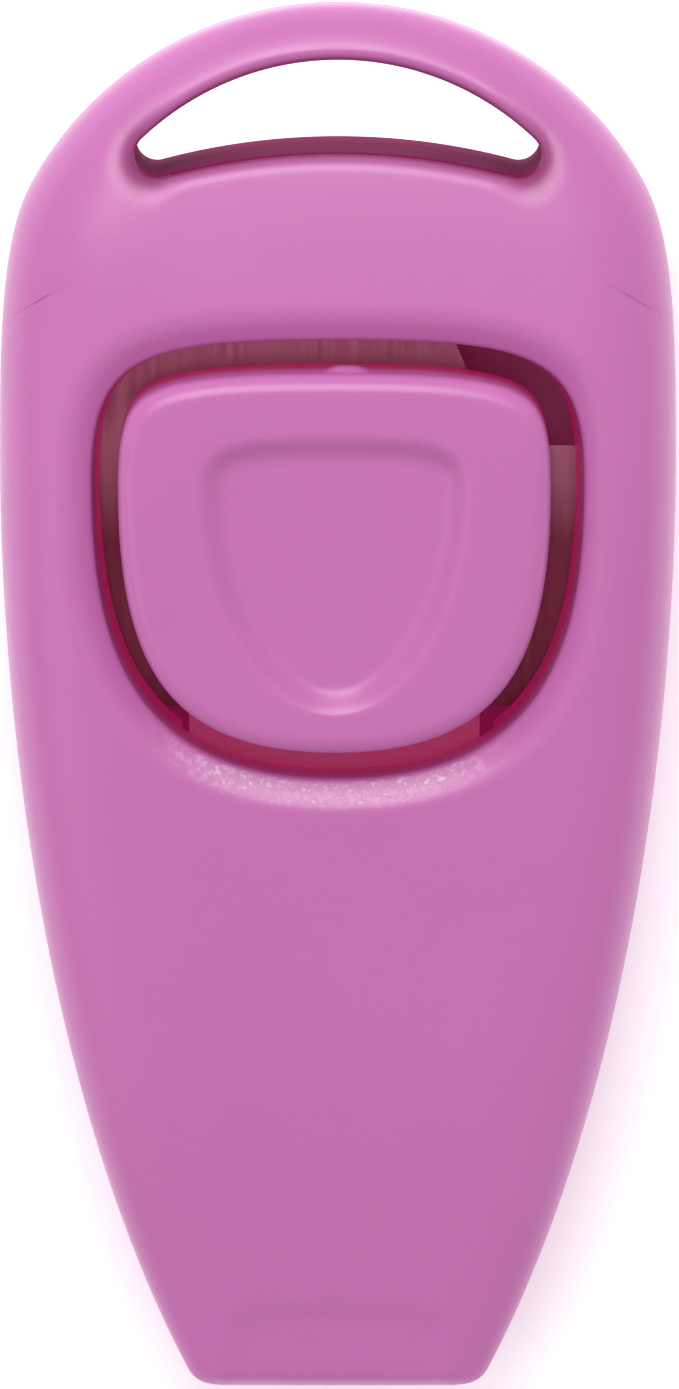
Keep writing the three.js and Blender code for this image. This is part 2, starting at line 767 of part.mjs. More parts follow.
/** Loose thumb key, hollow underneath, with a pusher, a tongue and two trunnions it turns on. */
function buttonSolid() {
  const side = inset(opening, buttonGap);
  const low = buttonTop - buttonHeight;
  const edge = [0, 0.3, 0.65, 1].map((share) => {
    const z = buttonTop - buttonEdge * (1 - edgeRise(share, 1, 2));
    return atHeight(inset(side, buttonEdge * share), z);
  });
  const body = loft([atHeight(side, low), ...edge]);
  const ceiling = buttonTop - scallopDepth - buttonWall - buttonCeiling;
  const hollow = prism(inset(side, buttonWall), low - 1, ceiling);
  const scallop = scallopLoop();
  const thumb = loft([
    atHeight(inset(scallop, scallopSlope), buttonTop - scallopDepth),
    atHeight(
      inset(scallop, scallopSlope * scallopSlopeBreak[0]),
      buttonTop - scallopDepth * scallopSlopeBreak[1],
    ),
    atHeight(scallop, buttonTop + restGap),
    atHeight(scallop, buttonTop + 1),
  ]);
  const inCeiling = ceiling + buttonCeiling;
  const ribLow = low + ribFromSkirt;
  const pusher = bar(pusherRadius, 0, domeY, plateTop + domeHeight + clearance, inCeiling);
  const ribs = [
    box(
      [-openingWidth / 3, domeY - ribWidth / 2, ribLow],
      [openingWidth / 3, domeY + ribWidth / 2, inCeiling],
    ),
    box([-ribWidth / 2, domeY - ribReach[0], ribLow], [ribWidth / 2, domeY + ribReach[1], inCeiling]),
  ];
  const tongue = box(
    [-tongueWidth / 2, pivotY - trunnionRadius, pivotHeight - tongueThickness / 2],
    [tongueWidth / 2, openingBottomY + buttonGap + tongueRoot, pivotHeight + tongueThickness / 2],
  );
  const trunnions = crossBar(trunnionRadius, 0, pivotY, pivotHeight, trunnionSpan);
  return joined([body.subtract(hollow), pusher, ...ribs, tongue, trunnions]).subtract(thumb);
}

/** Spring-steel sheet with a pressed dome that snaps over, one corner cut away beside its clamped tail. */
function clickPlate() {
  const half = plateWidth / 2;
  const tailTop = crownY - plateTailFromCrown;
  const bottom = openingBottomY + plateFromOpening;
  const notchY = openingTopY - plateNotchFromOpening;
  const earTop = openingTopY - plateSetback;
  const tailLeft = plateTailX - plateTailWidth;
  const corners = [
    [-half, bottom],
    [half, bottom],
    [half, notchY],
    [plateNotchX, notchY],
    [plateTailX, openingTopY + plateSlantPast],
    [plateTailX, tailTop],
    [tailLeft, tailTop],
    [tailLeft, earTop],
    [-half, earTop],
  ];
  const sheet = prism(corners, plateHeight, plateTop, false);
  const holes = clampScrews.map(([x, y]) =>
    bar(screwRadius + screwHoleGap, x, y, plateHeight - 1, plateTop + 1, 12));
  const profile = (share, lift) =>
    new THREE.Vector2(domeRadius * share, lift + domeHeight * (1 - share ** 2) ** 2);
  const shares = [0, 0.2, 0.4, 0.6, 0.8, 1];
  const dome = new THREE.LatheGeometry([
    ...shares.map((share) => profile(share, 0)),
    ...shares.toReversed().map((share) => profile(share, plateThickness)),
  ], 28);
  dome.rotateX(Math.PI / 2);
  dome.translate(0, domeY, plateHeight);
  const opened = sheet.subtract(bar(domeRadius - 0.1, 0, domeY, plateHeight - 1, plateTop + 1, 28));
  return cut(opened.add(solidOf(dome)), holes);
}

/** Bar across the plate's tail. */
function plateClamp() {
  const solid = box(
    [clampMiddleX - clampWidth / 2, clampY - clampDepth / 2, clampBase],
    [clampMiddleX + clampWidth / 2, clampY + clampDepth / 2, clampTop],
  );
  return cut(solid, clampScrews.map(([x, y]) =>
    bar(screwRadius + screwHoleGap, x, y, clampBase - 1, clampTop + 1, 12)));
}

/** Pan-head screw with a cross drive: the head's seat is at its origin and the shank points along +Z. */
function screw(length) {
  const profile = [
    [0, -screwHeadHeight],
    [screwHeadRadius * 0.62, -screwHeadHeight],
    [screwHeadRadius * 0.92, -screwHeadHeight * 0.7],
    [screwHeadRadius, -screwHeadHeight * 0.3],
    [screwHeadRadius, -restGap],
    [screwRadius, -restGap],
    [screwRadius, length - screwRadius],
    [0, length],
  ];
  const turned = new THREE.LatheGeometry(profile.map(([r, z]) => new THREE.Vector2(r, z)), 14);
  turned.rotateX(Math.PI / 2);
  const reach = screwHeadRadius * 0.6;
  const half = screwDriveWidth / 2;
  const depth = [-screwHeadHeight - 1, screwDriveDepth - screwHeadHeight];
  return cut(solidOf(turned), [
    box([-reach, -half, depth[0]], [reach, half, depth[1]]),
    box([-half, -reach, depth[0]], [half, reach, depth[1]]),
  ]);
}

// ---- The assembly ----

const abs = { color: "#c270b0", roughness: 0.38, metalness: 0 };
const springSteel = { color: "#a9a29c", roughness: 0.32, metalness: 1 };
const zincSteel = { color: "#9fa3a8", roughness: 0.35, metalness: 1 };
const whiteAbs = { color: "#e6e1da", roughness: 0.5, metalness: 0 };

function piece(name, solid, finish, place = [0, 0, 0]) {
  const mesh = new THREE.Mesh(geometryOf(solid), new THREE.MeshStandardMaterial(finish));
  mesh.name = name;
  mesh.position.set(...place);
  return mesh;
}

const trainer = new THREE.Group();
trainer.add(piece("front_shell", frontShell(), abs));
trainer.add(piece("rear_shell", rearShell(), abs));
trainer.add(piece("button", buttonSolid(), abs, [buttonSideShift, 0, 0]));
trainer.add(piece("click_plate", clickPlate(), springSteel));
trainer.add(piece("plate_clamp", plateClamp(), whiteAbs));
trainer.add(piece("whistle_block", whistleBlock(), whiteAbs));

bosses.forEach(([x, y], i) => {
  const place = [x, y, caseScrewSeat];
  trainer.add(piece(`case_screw_${i + 1}`, screw(caseScrewLength), zincSteel, place));
});

clampScrews.forEach(([x, y], i) => {
  const side = i === 0 ? "left" : "right";
  const mesh = piece(`clamp_screw_${side}`, screw(clampScrewLength), zincSteel, [x, y, clampTop]);
  mesh.rotation.x = Math.PI;
  trainer.add(mesh);
});

export default trainer;
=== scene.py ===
import math

import bmesh
import bpy
import numpy as np
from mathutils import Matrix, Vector


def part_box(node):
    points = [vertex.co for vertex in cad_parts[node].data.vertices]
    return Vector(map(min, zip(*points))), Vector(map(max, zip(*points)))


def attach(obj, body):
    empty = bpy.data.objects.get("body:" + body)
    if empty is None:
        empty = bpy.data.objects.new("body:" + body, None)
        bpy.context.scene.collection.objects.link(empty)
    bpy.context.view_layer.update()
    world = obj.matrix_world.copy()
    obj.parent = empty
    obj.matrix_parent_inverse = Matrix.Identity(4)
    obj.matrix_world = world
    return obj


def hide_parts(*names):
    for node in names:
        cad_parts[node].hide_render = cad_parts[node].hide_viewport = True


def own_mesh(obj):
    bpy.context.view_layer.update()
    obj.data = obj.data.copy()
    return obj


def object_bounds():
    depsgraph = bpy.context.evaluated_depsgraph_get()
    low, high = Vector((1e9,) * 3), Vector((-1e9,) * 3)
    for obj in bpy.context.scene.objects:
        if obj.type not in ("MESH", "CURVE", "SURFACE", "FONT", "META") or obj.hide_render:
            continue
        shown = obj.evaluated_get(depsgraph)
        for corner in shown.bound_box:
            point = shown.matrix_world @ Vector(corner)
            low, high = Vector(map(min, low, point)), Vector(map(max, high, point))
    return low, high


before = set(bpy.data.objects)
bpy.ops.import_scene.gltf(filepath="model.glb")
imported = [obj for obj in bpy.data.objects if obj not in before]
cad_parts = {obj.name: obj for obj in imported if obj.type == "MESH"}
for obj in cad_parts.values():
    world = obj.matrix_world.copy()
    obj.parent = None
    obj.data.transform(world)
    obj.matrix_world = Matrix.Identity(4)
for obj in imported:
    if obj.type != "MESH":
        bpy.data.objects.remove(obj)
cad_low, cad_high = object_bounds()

# Two-in-one pet trainer: a thumb clicker and a whistle in one moulded case.
# Shapes are worked out in millimetres in the frame's own axes and put into the meshes in metres.


# ---- Rear shell ----
# The back half of the case: one injection moulding in orchid-pink ABS. It holds the screw wells, the
# whistle window with its ramp, the rails under the click plate and the supports of the button's pivot.

CROWN_Y, MOUTH_Y = 1000 * cad_high[1], 1000 * cad_low[1]
HALF_WIDTH = 1000 * cad_high[0]
PARTING, SEAM = 6.0, 0.1
CROWN_RADIUS, SHOULDER_ANGLE = 20.0, 0.505
CROWN_CENTRE = CROWN_Y - CROWN_RADIUS
SHOULDER = (CROWN_RADIUS * math.cos(SHOULDER_ANGLE), CROWN_CENTRE + CROWN_RADIUS * math.sin(SHOULDER_ANGLE))
WIDEST = (HALF_WIDTH, CROWN_Y - 26)
MOUTH_TAPER, CORNER_RISE, CORNER_REACH, MOUTH_BOW = 0.476, 1.15, 2.2, 0.16
MOUTH_CORNER = (8.7, MOUTH_Y + CORNER_RISE)
# Pull of each end of the two side curves, as a share of the curve's height
ABOVE_WIDEST, BELOW_SHOULDER, ABOVE_MOUTH, BELOW_WIDEST = 0.45, 0.23, 0.323, 0.301


def cubic(a, b, c, d, steps):
    """Cubic curve: the four points weighed by (1-t)^3, 3t(1-t)^2, 3t^2(1-t) and t^3."""
    t = np.linspace(0, 1, steps)[:, None]
    points = [np.array(p, float) for p in (a, b, c, d)]
    weights = ((1 - t) ** 3, 3 * t * (1 - t) ** 2, 3 * t**2 * (1 - t), t**3)
    return sum(w * p for w, p in zip(weights, points))


def arc(centre, radius, start, stop, steps):
    """Points of a circle from one angle to another."""
    angle = np.linspace(start, stop, steps)
    return np.column_stack((centre[0] + radius * np.cos(angle), centre[1] + radius * np.sin(angle)))


def run_together(*lines):
    """Lines end to end, each without the first point that the one before it ends on."""
    return np.concatenate([lines[0]] + [line[1:] for line in lines[1:]])


def closed_from_right(right_half):
    """Counter-clockwise loop from its right half, listed bottom to top, mirrored in X."""
    left = right_half[-2:0:-1] * (-1, 1)
    return np.concatenate((right_half, left))


def evenly(line, count):
    """The line's points moved to equal steps along its length."""
    run = np.concatenate(([0], np.cumsum(np.hypot(*np.diff(line, axis=0).T))))
    at = np.linspace(0, run[-1], count)
    return np.column_stack([np.interp(at, run, line[:, k]) for k in (0, 1)])


shoulder_run, side_run = SHOULDER[1] - WIDEST[1], WIDEST[1] - MOUTH_CORNER[1]
crown_line = arc((0, CROWN_CENTRE), CROWN_RADIUS, SHOULDER_ANGLE, math.pi / 2, 120)
shoulder_line = cubic(
    WIDEST,
    (WIDEST[0], WIDEST[1] + ABOVE_WIDEST * shoulder_run),
    (
        SHOULDER[0] + BELOW_SHOULDER * shoulder_run * math.sin(SHOULDER_ANGLE),
        SHOULDER[1] - BELOW_SHOULDER * shoulder_run * math.cos(SHOULDER_ANGLE),
    ),
    SHOULDER,
    60,
)
side_line = cubic(
    MOUTH_CORNER,
    (
        MOUTH_CORNER[0] + ABOVE_MOUTH * side_run * math.sin(MOUTH_TAPER),
        MOUTH_CORNER[1] + ABOVE_MOUTH * side_run * math.cos(MOUTH_TAPER),
    ),
    (WIDEST[0], WIDEST[1] - BELOW_WIDEST * side_run),
    WIDEST,
    160,
)
corner_lean = math.tan(MOUTH_TAPER) * CORNER_RISE
end_corner = (MOUTH_CORNER[0] - corner_lean, MOUTH_Y + MOUTH_BOW)
end_flat = (MOUTH_CORNER[0] - CORNER_REACH, MOUTH_Y + MOUTH_BOW)
corner_line = cubic(
    end_flat,
    (np.array(end_flat) + 2 * np.array(end_corner)) / 3,
    (np.array(MOUTH_CORNER) + 2 * np.array(end_corner)) / 3,
    MOUTH_CORNER,
    40,
)
end_line = cubic((0, MOUTH_Y), (2.2, MOUTH_Y), (4.3, MOUTH_Y + 0.04), end_flat, 30)
right_outline = run_together(end_line, corner_line, side_line, shoulder_line, crown_line)

# The right side alone, carried on straight past the mouthpiece
past_mouth = np.array([MOUTH_CORNER]) - 20 * np.array([[math.sin(MOUTH_TAPER), math.cos(MOUTH_TAPER)]])
side_to_past = np.concatenate((past_mouth, run_together(side_line, shoulder_line, crown_line)))


def distance(x, y, line):
    """Shortest way from each point to a line of straight pieces: the foot on each piece is clamped
    to its ends, and the nearest of all is taken."""
    flat = np.column_stack((np.ravel(x), np.ravel(y)))
    start, along = line[:-1], np.diff(line, axis=0)
    square = np.maximum((along**2).sum(1), 1e-12)
    nearest = np.empty(len(flat))
    for low in range(0, len(flat), 4000):
        offset = flat[low : low + 4000, None] - start
        share = np.clip((offset * along).sum(2) / square, 0, 1)
        nearest[low : low + 4000] = np.sqrt(((offset - share[..., None] * along) ** 2).sum(2).min(1))
    return nearest.reshape(np.shape(x))


def edge_rise(inside, rounding, power):
    """Share of full height at a distance inside an edge: (1 - (1 - d/r)^p)^(1/p), and 1 beyond r."""
    outside = 1 - np.clip(inside / rounding, 0, 1)
    return (1 - outside**power) ** (1 / power)


def smooth(value, low, high):
    """0 below low, 1 above high, and 3t^2 - 2t^3 between."""
    t = np.clip((value - low) / (high - low), 0, 1)
    return t * t * (3 - 2 * t)


SLOT_TOP, SLOT_HEIGHT = CROWN_Y - 3.05, 5.1
SLOT_UPPER, SLOT_LOWER, SLOT_END = 16.4, 38.6, 1.2
upper_y, lower_y = SLOT_TOP - SLOT_UPPER, SLOT_TOP - SLOT_HEIGHT - SLOT_LOWER
to_upper, to_lower = SLOT_UPPER - SLOT_END, SLOT_LOWER + SLOT_END
end_y = (to_lower**2 - to_upper**2 + upper_y**2 - lower_y**2) / (2 * (upper_y - lower_y))
end_x = math.sqrt(to_upper**2 - (end_y - upper_y) ** 2)
upper_angle, lower_angle = math.atan2(end_y - upper_y, end_x), math.atan2(end_y - lower_y, end_x)

SEAM_COLUMNS, CROWN_COLUMNS, CAP_COLUMNS = 140, 260, 62
slot_around = run_together(
    arc((end_x, end_y), SLOT_END, lower_angle - math.pi, upper_angle, CAP_COLUMNS + 1),
    arc((0, upper_y), SLOT_UPPER, upper_angle, math.pi - upper_angle, CROWN_COLUMNS - 2 * CAP_COLUMNS + 1),
    arc((-end_x, end_y), SLOT_END, math.pi - upper_angle, 2 * math.pi - lower_angle, CAP_COLUMNS + 1),
)
crowded = np.sin(np.linspace(-1, 1, SEAM_COLUMNS + 1) * math.pi / 2)


def across_arc(radius, half_angle):
    """Arc over the middle from left to right, its points closer together towards the two ends."""
    angle = half_angle * crowded
    return np.column_stack((radius * np.sin(angle), lower_y + radius * np.cos(angle)))


slot_below = across_arc(SLOT_LOWER, math.pi / 2 - lower_angle)
slot_loop = np.concatenate((slot_around[:-1], slot_below[:-1]))
slot_closed = np.concatenate((slot_loop, slot_loop[:1]))

# The case's surface is worked in two rings: one round the slot and one round the rest. They share a
# seam line, an arc between the two sides of the case.
SEAM_RADIUS = 34.5
above_seam = np.hypot(right_outline[:, 0], right_outline[:, 1] - lower_y) > SEAM_RADIUS
above_seam &= right_outline[:, 1] > 0
cut = np.argmax(above_seam)
seam_end = right_outline[cut]
seam_radius = math.hypot(seam_end[0], seam_end[1] - lower_y)
seam_angle = math.atan2(seam_end[1] - lower_y, seam_end[0])
seam_line = across_arc(seam_radius, math.pi / 2 - seam_angle)
seam_line[[0, -1]] = seam_end * (-1, 1), seam_end
upper_right = right_outline[cut:]
crown_over = evenly(run_together(upper_right, upper_right[::-1] * (-1, 1)), CROWN_COLUMNS + 1)
crown_over[[0, -1]] = seam_line[[-1, 0]]
upper_loop = np.concatenate((crown_over[:-1], seam_line[:-1]))

SIDE_COLUMNS = 420
lower_right = right_outline[: cut + 1]
sides_under = evenly(run_together(lower_right[::-1] * (-1, 1), lower_right), SIDE_COLUMNS + 1)
sides_under[[0, -1]] = seam_line[[0, -1]]
lower_loop = np.concatenate((seam_line[::-1][:-1], sides_under[:-1]))
outline_closed = np.concatenate((crown_over, sides_under[1:]))


def outward(loop, spread=0):
    """Unit normals of a counter-clockwise loop: the mean direction of the edges around each point,
    turned a quarter to the right. A wider spread of edges softens the turn at a corner."""
    edges = np.roll(loop, -1, axis=0) - loop
    edges /= np.linalg.norm(edges, axis=1)[:, None]
    along = sum(np.roll(edges, step, axis=0) for step in range(-spread, spread + 2))
    along /= np.linalg.norm(along, axis=1)[:, None]
    return np.column_stack((along[:, 1], -along[:, 0]))


def ring(inner, outer, inner_steps, outer_steps, shares, on_outline):
    """Plan grid between two loops: rows at set distances out from the inner one, rows shared out
    between, and rows in from the outer one, each point on its way straight to the inner loop. A step
    is a true distance from the edge in the columns that stand on the case's outline."""
    from_inner = [inner + outward(inner) * step for step in inner_steps]
    inward = from_inner[-1] - outer
    inward /= np.linalg.norm(inward, axis=1)[:, None]
    lean = np.where(on_outline, np.clip(-(outward(outer) * inward).sum(1), 0.28, 1), 1)
    lean = np.mean([np.roll(lean, shift) for shift in range(-14, 15)], axis=0)[:, None]
    from_outer = [outer + inward * step / lean for step in outer_steps]
    between = [from_inner[-1] * (1 - s) + from_outer[0] * s for s in shares]
    return np.array(from_inner + between + from_outer)


def matched(loop, dense, centre):
    """Points of a dense loop on the rays from the centre to each point of the other loop: its radius
    is read off as a function of the angle."""
    rays = loop - centre
    offsets = dense - centre
    angle = np.arctan2(offsets[:, 1], offsets[:, 0])
    order = np.argsort(angle)
    radius = np.hypot(*offsets.T)[order]
    wanted = np.arctan2(rays[:, 1], rays[:, 0])
    length = np.interp(wanted, angle[order], radius, period=2 * math.pi)
    return centre + np.column_stack((np.cos(wanted), np.sin(wanted))) * length[:, None]


LOOP_LIFT, MOUTH_LIFT, FLAT_BACK = 2.2, 2.5, 44.0
MOUTH_ROUNDING, BACK_ROUNDING = 1.0, 5.0
WALL = 1.6


def back_height(x, y):
    """Back face: flat in the middle, curving up with the square of the distance past the flat part,
    and rounded up to the parting plane at the sides and the mouthpiece."""
    past = np.maximum(np.abs(y) - FLAT_BACK / 2, 0) / ((CROWN_Y - MOUTH_Y - FLAT_BACK) / 2)
    base = np.where(y > 0, LOOP_LIFT, MOUTH_LIFT) * past**2
    rise = edge_rise(distance(np.abs(x), y, side_to_past), BACK_ROUNDING, 2.4)
    rise = rise * edge_rise(y - MOUTH_Y, MOUTH_ROUNDING, 2)
    return PARTING - (PARTING - base) * rise


def lifted(plan, height):
    """Plan grid with its heights as a third coordinate."""
    x, y = plan[..., 0], plan[..., 1]
    z = height(x, y) if callable(height) else np.full(x.shape, float(height))
    return np.stack((x, y, z), axis=-1)


def solid(name, grids, caps=()):
    """One closed mesh from grids of points that close on themselves along each row, and caps that are
    single loops. Points that meet are merged and the faces turned outwards."""
    points, faces, base = [], [], 0
    for grid in grids:
        rows, columns = grid.shape[:2]
        index = base + np.arange(rows * columns).reshape(rows, columns)
        right = np.roll(index, -1, axis=1)
        quads = np.stack((index[:-1], right[:-1], right[1:], index[1:]), axis=-1)
        faces += quads.reshape(-1, 4).tolist()
        points.append(grid.reshape(-1, 3))
        base += rows * columns
    for cap in caps:
        faces.append(list(range(base, base + len(cap))))
        points.append(cap)
        base += len(cap)
    mesh = bpy.data.meshes.new(name)
    mesh.from_pydata((np.concatenate(points) * 0.001).tolist(), [], faces)
    return tidied(put(name, mesh))


def put(name, mesh):
    """New object with a mesh, in the scene."""
    piece = bpy.data.objects.new(name, mesh)
    bpy.context.scene.collection.objects.link(piece)
    return piece


def tidied(piece):
    """Merges doubled points, drops collapsed faces and turns the faces outwards."""
    work = bmesh.new()
    work.from_mesh(piece.data)
    bmesh.ops.remove_doubles(work, verts=work.verts, dist=2e-7)
    bmesh.ops.dissolve_degenerate(work, edges=work.edges, dist=1e-8)
    bmesh.ops.recalc_face_normals(work, faces=work.faces)
    work.to_mesh(piece.data)
    work.free()
    return piece


def combine(piece, operation, tools):
    """The piece joined with or cut by other closed pieces, which are used up."""
    group = bpy.data.collections.new("tools")
    bpy.context.scene.collection.children.link(group)
    for tool in tools:
        group.objects.link(tool)
    step = piece.modifiers.new("tools", "BOOLEAN")
    step.operation, step.solver = operation, "EXACT"
    step.operand_type, step.collection = "COLLECTION", group
    bpy.context.view_layer.update()
    graph = bpy.context.evaluated_depsgraph_get()
    made = bpy.data.meshes.new_from_object(piece.evaluated_get(graph))
    piece.modifiers.clear()
    piece.data = made
    for tool in tools:
        bpy.data.objects.remove(tool)
    bpy.data.collections.remove(group)
    return piece


def block(name, low, high):
    """Straight box as a tool for cutting or joining."""
    (x0, y0, z0), (x1, y1, z1) = low, high
    loop = np.array([(x0, y0), (x1, y0), (x1, y1), (x0, y1)], float)
    grid = np.array([lifted(loop, z0), lifted(loop, z1)])
    return solid(name, [grid], [grid[0], grid[1]])


def rod(name, radius, centre, low, high, sides=48):
    """Upright round bar as a tool for cutting or joining."""
    loop = arc(centre, radius, 0, 2 * math.pi, sides + 1)[:-1]
    grid = np.array([lifted(loop, low), lifted(loop, high)])
    return solid(name, [grid], [grid[0], grid[1]])


def across(name, profile, low_x, high_x):
    """Side profile of (y, z) points carried along X, as a tool."""
    loop = np.array(profile, float)
    ends = [np.column_stack((np.full(len(loop), x), loop)) for x in (low_x, high_x)]
    return solid(name, [np.array(ends)], ends)


def finished(piece, material, body, replaced, smooth_angle=32):
    """Shades the piece smooth up to an angle, gives it its material, slot and body, and hides the CAD nodes
    it replaces.
    """
    piece.data.materials.clear()
    piece.data.materials.append(material)
    piece.data.shade_smooth()
    piece.data.set_sharp_from_angle(angle=math.radians(smooth_angle))
    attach(piece, body)
    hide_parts(*replaced)
    return piece


def attribute(piece, name, function):
    """Writes a value for each point, worked out from its place in millimetres."""
    count = len(piece.data.vertices)
    places = np.empty(count * 3, np.float32)
    piece.data.vertices.foreach_get("co", places)
    x, y, z = 1000 * places.reshape(-1, 3).T.astype(float)
    layer = piece.data.attributes.new(name, "FLOAT", "POINT")
    layer.data.foreach_set("value", function(x, y, z).astype(np.float32))


def linear(hex_colour):
    """sRGB hex as linear red, green, blue and alpha."""
    parts = [int(hex_colour[k : k + 2], 16) / 255 for k in (1, 3, 5)]
    return [c / 12.92 if c <= 0.04045 else ((c + 0.055) / 1.055) ** 2.4 for c in parts] + [1.0]


def material(name):
    """Empty node material and its tree."""
    made = bpy.data.materials.new(name)
    made.use_nodes = True
    made.node_tree.nodes.clear()
    return made, made.node_tree


def add(tree, kind, settings=None, **links):
    """One node with its settings, and its inputs given as a value or as (node, output). Inputs are
    named with _ for a space, or numbered as in0, in1."""
    node = tree.nodes.new("ShaderNode" + kind)
    for key, value in (settings or {}).items():
        setattr(node, key, value)
    for key, value in links.items():
        socket = node.inputs[int(key[2:])] if key[2:].isdigit() else node.inputs[key.replace("_", " ")]
        if isinstance(value, tuple) and hasattr(value[0], "outputs"):
            tree.links.new(value[0].outputs[value[1]], socket)
        else:
            socket.default_value = value
    return node


def moulded_abs(name, colour, painted_shade_colour, roughness, grain_mm, painted_glow_strength):
    """Injection-moulded ABS: satin gloss that varies a little with the melt's flow and a very fine orange
    peel. Painted shade and glow: a darker, redder colour and a crimson glow where the 'inside' value is
    high, and painted dark crimson shade where the 'shade' value is high. Pale specks where the 'nicks'
    value is high are partly scuffs and partly a painted sparkle highlight."""
    made, tree = material(name)
    place = add(tree, "TexCoord")
    flow = add(tree, "TexNoise", {"noise_dimensions": "3D"}, Vector=(place, "Object"),
               Scale=1000 / 14, Detail=3.0, Roughness=0.55)
    clouds = add(tree, "ValToRGB", None, Fac=(flow, "Fac"))
    clouds.color_ramp.elements[0].position = 0.3
    clouds.color_ramp.elements[1].position = 0.72
    clouds.color_ramp.elements[0].color = [c * 0.965 for c in linear(colour)[:3]] + [1]
    clouds.color_ramp.elements[1].color = linear(colour)
    # Painted shade: the 'inside' value turns the colour darker and redder inside the case and in the gaps.
    inside = add(tree, "Attribute", {"attribute_name": "inside"})
    painted_inside_shade = add(tree, "Mix", {"data_type": "RGBA"}, Factor=(inside, "Fac"), in6=(clouds, "Color"),
                 in7=linear(painted_shade_colour))
    peel = add(tree, "TexNoise", None, Vector=(place, "Object"), Scale=1000 / grain_mm, Detail=2.0)
    nicks_and_glints = add(tree, "Attribute", {"attribute_name": "nicks"})
    scratch = add(tree, "TexNoise", None, Vector=(place, "Object"), Scale=1000 / 0.45, Detail=5.0,
                  Roughness=0.7)
    pits = add(tree, "MapRange", None, Value=(scratch, "Fac"), From_Min=0.5, From_Max=0.62)
    rough = add(tree, "MapRange", None, Value=(flow, "Fac"), From_Min=0.3, From_Max=0.7,
                To_Min=roughness - 0.04, To_Max=roughness + 0.05)
    fine = add(tree, "Bump", None, Strength=0.12, Distance=0.00002, Height=(peel, "Fac"))
    nicked = add(tree, "Bump", None, Strength=(nicks_and_glints, "Fac"), Distance=0.00003, Height=(pits, "Result"),
                 Normal=(fine, "Normal"))
    # Painted shade: dark crimson round the slot where the 'shade' value is high.
    shade = add(tree, "Attribute", {"attribute_name": "shade"})
    shaded = add(tree, "Mix", {"data_type": "RGBA"}, Factor=(shade, "Fac"), in6=(painted_inside_shade, "Result"),
                 in7=linear("#7d1450"))
    # Pale specks where the nicks are: partly scuffs, partly a painted sparkle highlight.
    specks = add(tree, "MapRange", None, Value=(scratch, "Fac"), From_Min=0.48, From_Max=0.64, To_Min=0.28)
    pale = add(tree, "Math", {"operation": "MULTIPLY"}, in0=(nicks_and_glints, "Fac"), in1=(specks, "Result"))
    scuffs_and_painted_glints = add(tree, "Mix", {"data_type": "RGBA"}, Factor=(pale, "Value"), in6=(shaded, "Result"),
                  in7=linear("#f3cee7"))
    surface = add(tree, "BsdfPrincipled", None, Base_Color=(scuffs_and_painted_glints, "Result"),
                  Roughness=(rough, "Result"), IOR=1.54, Normal=(nicked, "Normal"))
    # Painted glow: the same value makes the plastic glow crimson, though no lamp is there.
    painted_glow = add(tree, "Math", {"operation": "MULTIPLY"}, in0=(inside, "Fac"), in1=painted_glow_strength)
    tree.links.new(painted_glow.outputs["Value"], surface.inputs["Emission Strength"])
    surface.inputs["Emission Color"].default_value = linear("#c8206e")
    surface.inputs["Subsurface Weight"].default_value = 0.12
    surface.inputs["Subsurface Radius"].default_value = (1.0, 0.25, 0.5)
    surface.inputs["Subsurface Scale"].default_value = 0.0012
    add(tree, "OutputMaterial", None, Surface=(surface, "BSDF"))
    return made


# Pink case plastic: its inner colour and glow strength are painted shade and a painted glow.
case_plastic = moulded_abs("orchid pink moulded ABS, satin", "#c26cae", "#8a1248", 0.33, 0.5, 0.34)
# Slot walls: rougher, duller plastic, and its dark crimson colour is painted shade.
shaded_slot_plastic = moulded_abs("orchid pink moulded ABS, spark-eroded, painted shade", "#8d1c5a", "#8a1248", 0.8, 0.2, 0.15)
shaded_slot_plastic.node_tree.nodes["Principled BSDF"].inputs["Specular IOR Level"].default_value = 0.08

OUTLINE_STEPS = [1.0, 0.72, 0.5, 0.33, 0.2, 0.11, 0.05, 0.015, 0.0]
SLOT_STEPS = [0.0, 0.01, 0.04, 0.09, 0.16, 0.25, 0.36, 0.5, 0.65, 0.82, 1.0, 1.2, 1.45, 1.7, 2.0]
SLOT_FILLET, SLOT_HOLLOW, HOLLOW_FROM_TO = 1.0, 0.9, (8.6, 11.4)
on_crown = np.arange(CROWN_COLUMNS + SEAM_COLUMNS) < CROWN_COLUMNS
on_sides = np.arange(SEAM_COLUMNS + SIDE_COLUMNS) >= SEAM_COLUMNS
upper_plan = ring(slot_loop, upper_loop, SLOT_STEPS, OUTLINE_STEPS, np.linspace(0, 1, 12)[1:-1], on_crown)


def slot_drop(x, y):
    """How far the slot's rounded edge falls below the face: a quarter circle round the slot, wider at
    the two ends, where the tool has left a small hollow."""
    away = distance(x, y, slot_closed)
    fillet = SLOT_FILLET + SLOT_HOLLOW * smooth(np.abs(x), *HOLLOW_FROM_TO)
    return SLOT_FILLET * (1 - edge_rise(away, fillet, 2))


def slot_shade(x, y):
    """Mask of painted shade: 1 at the slot's edge, fading out over the rounding and further out at its two
    ends.
    """
    away = distance(x, y, slot_closed)
    return 1 - smooth(away, 0.05, 0.75 + 1.1 * smooth(np.abs(x), 9.4, 11.8))


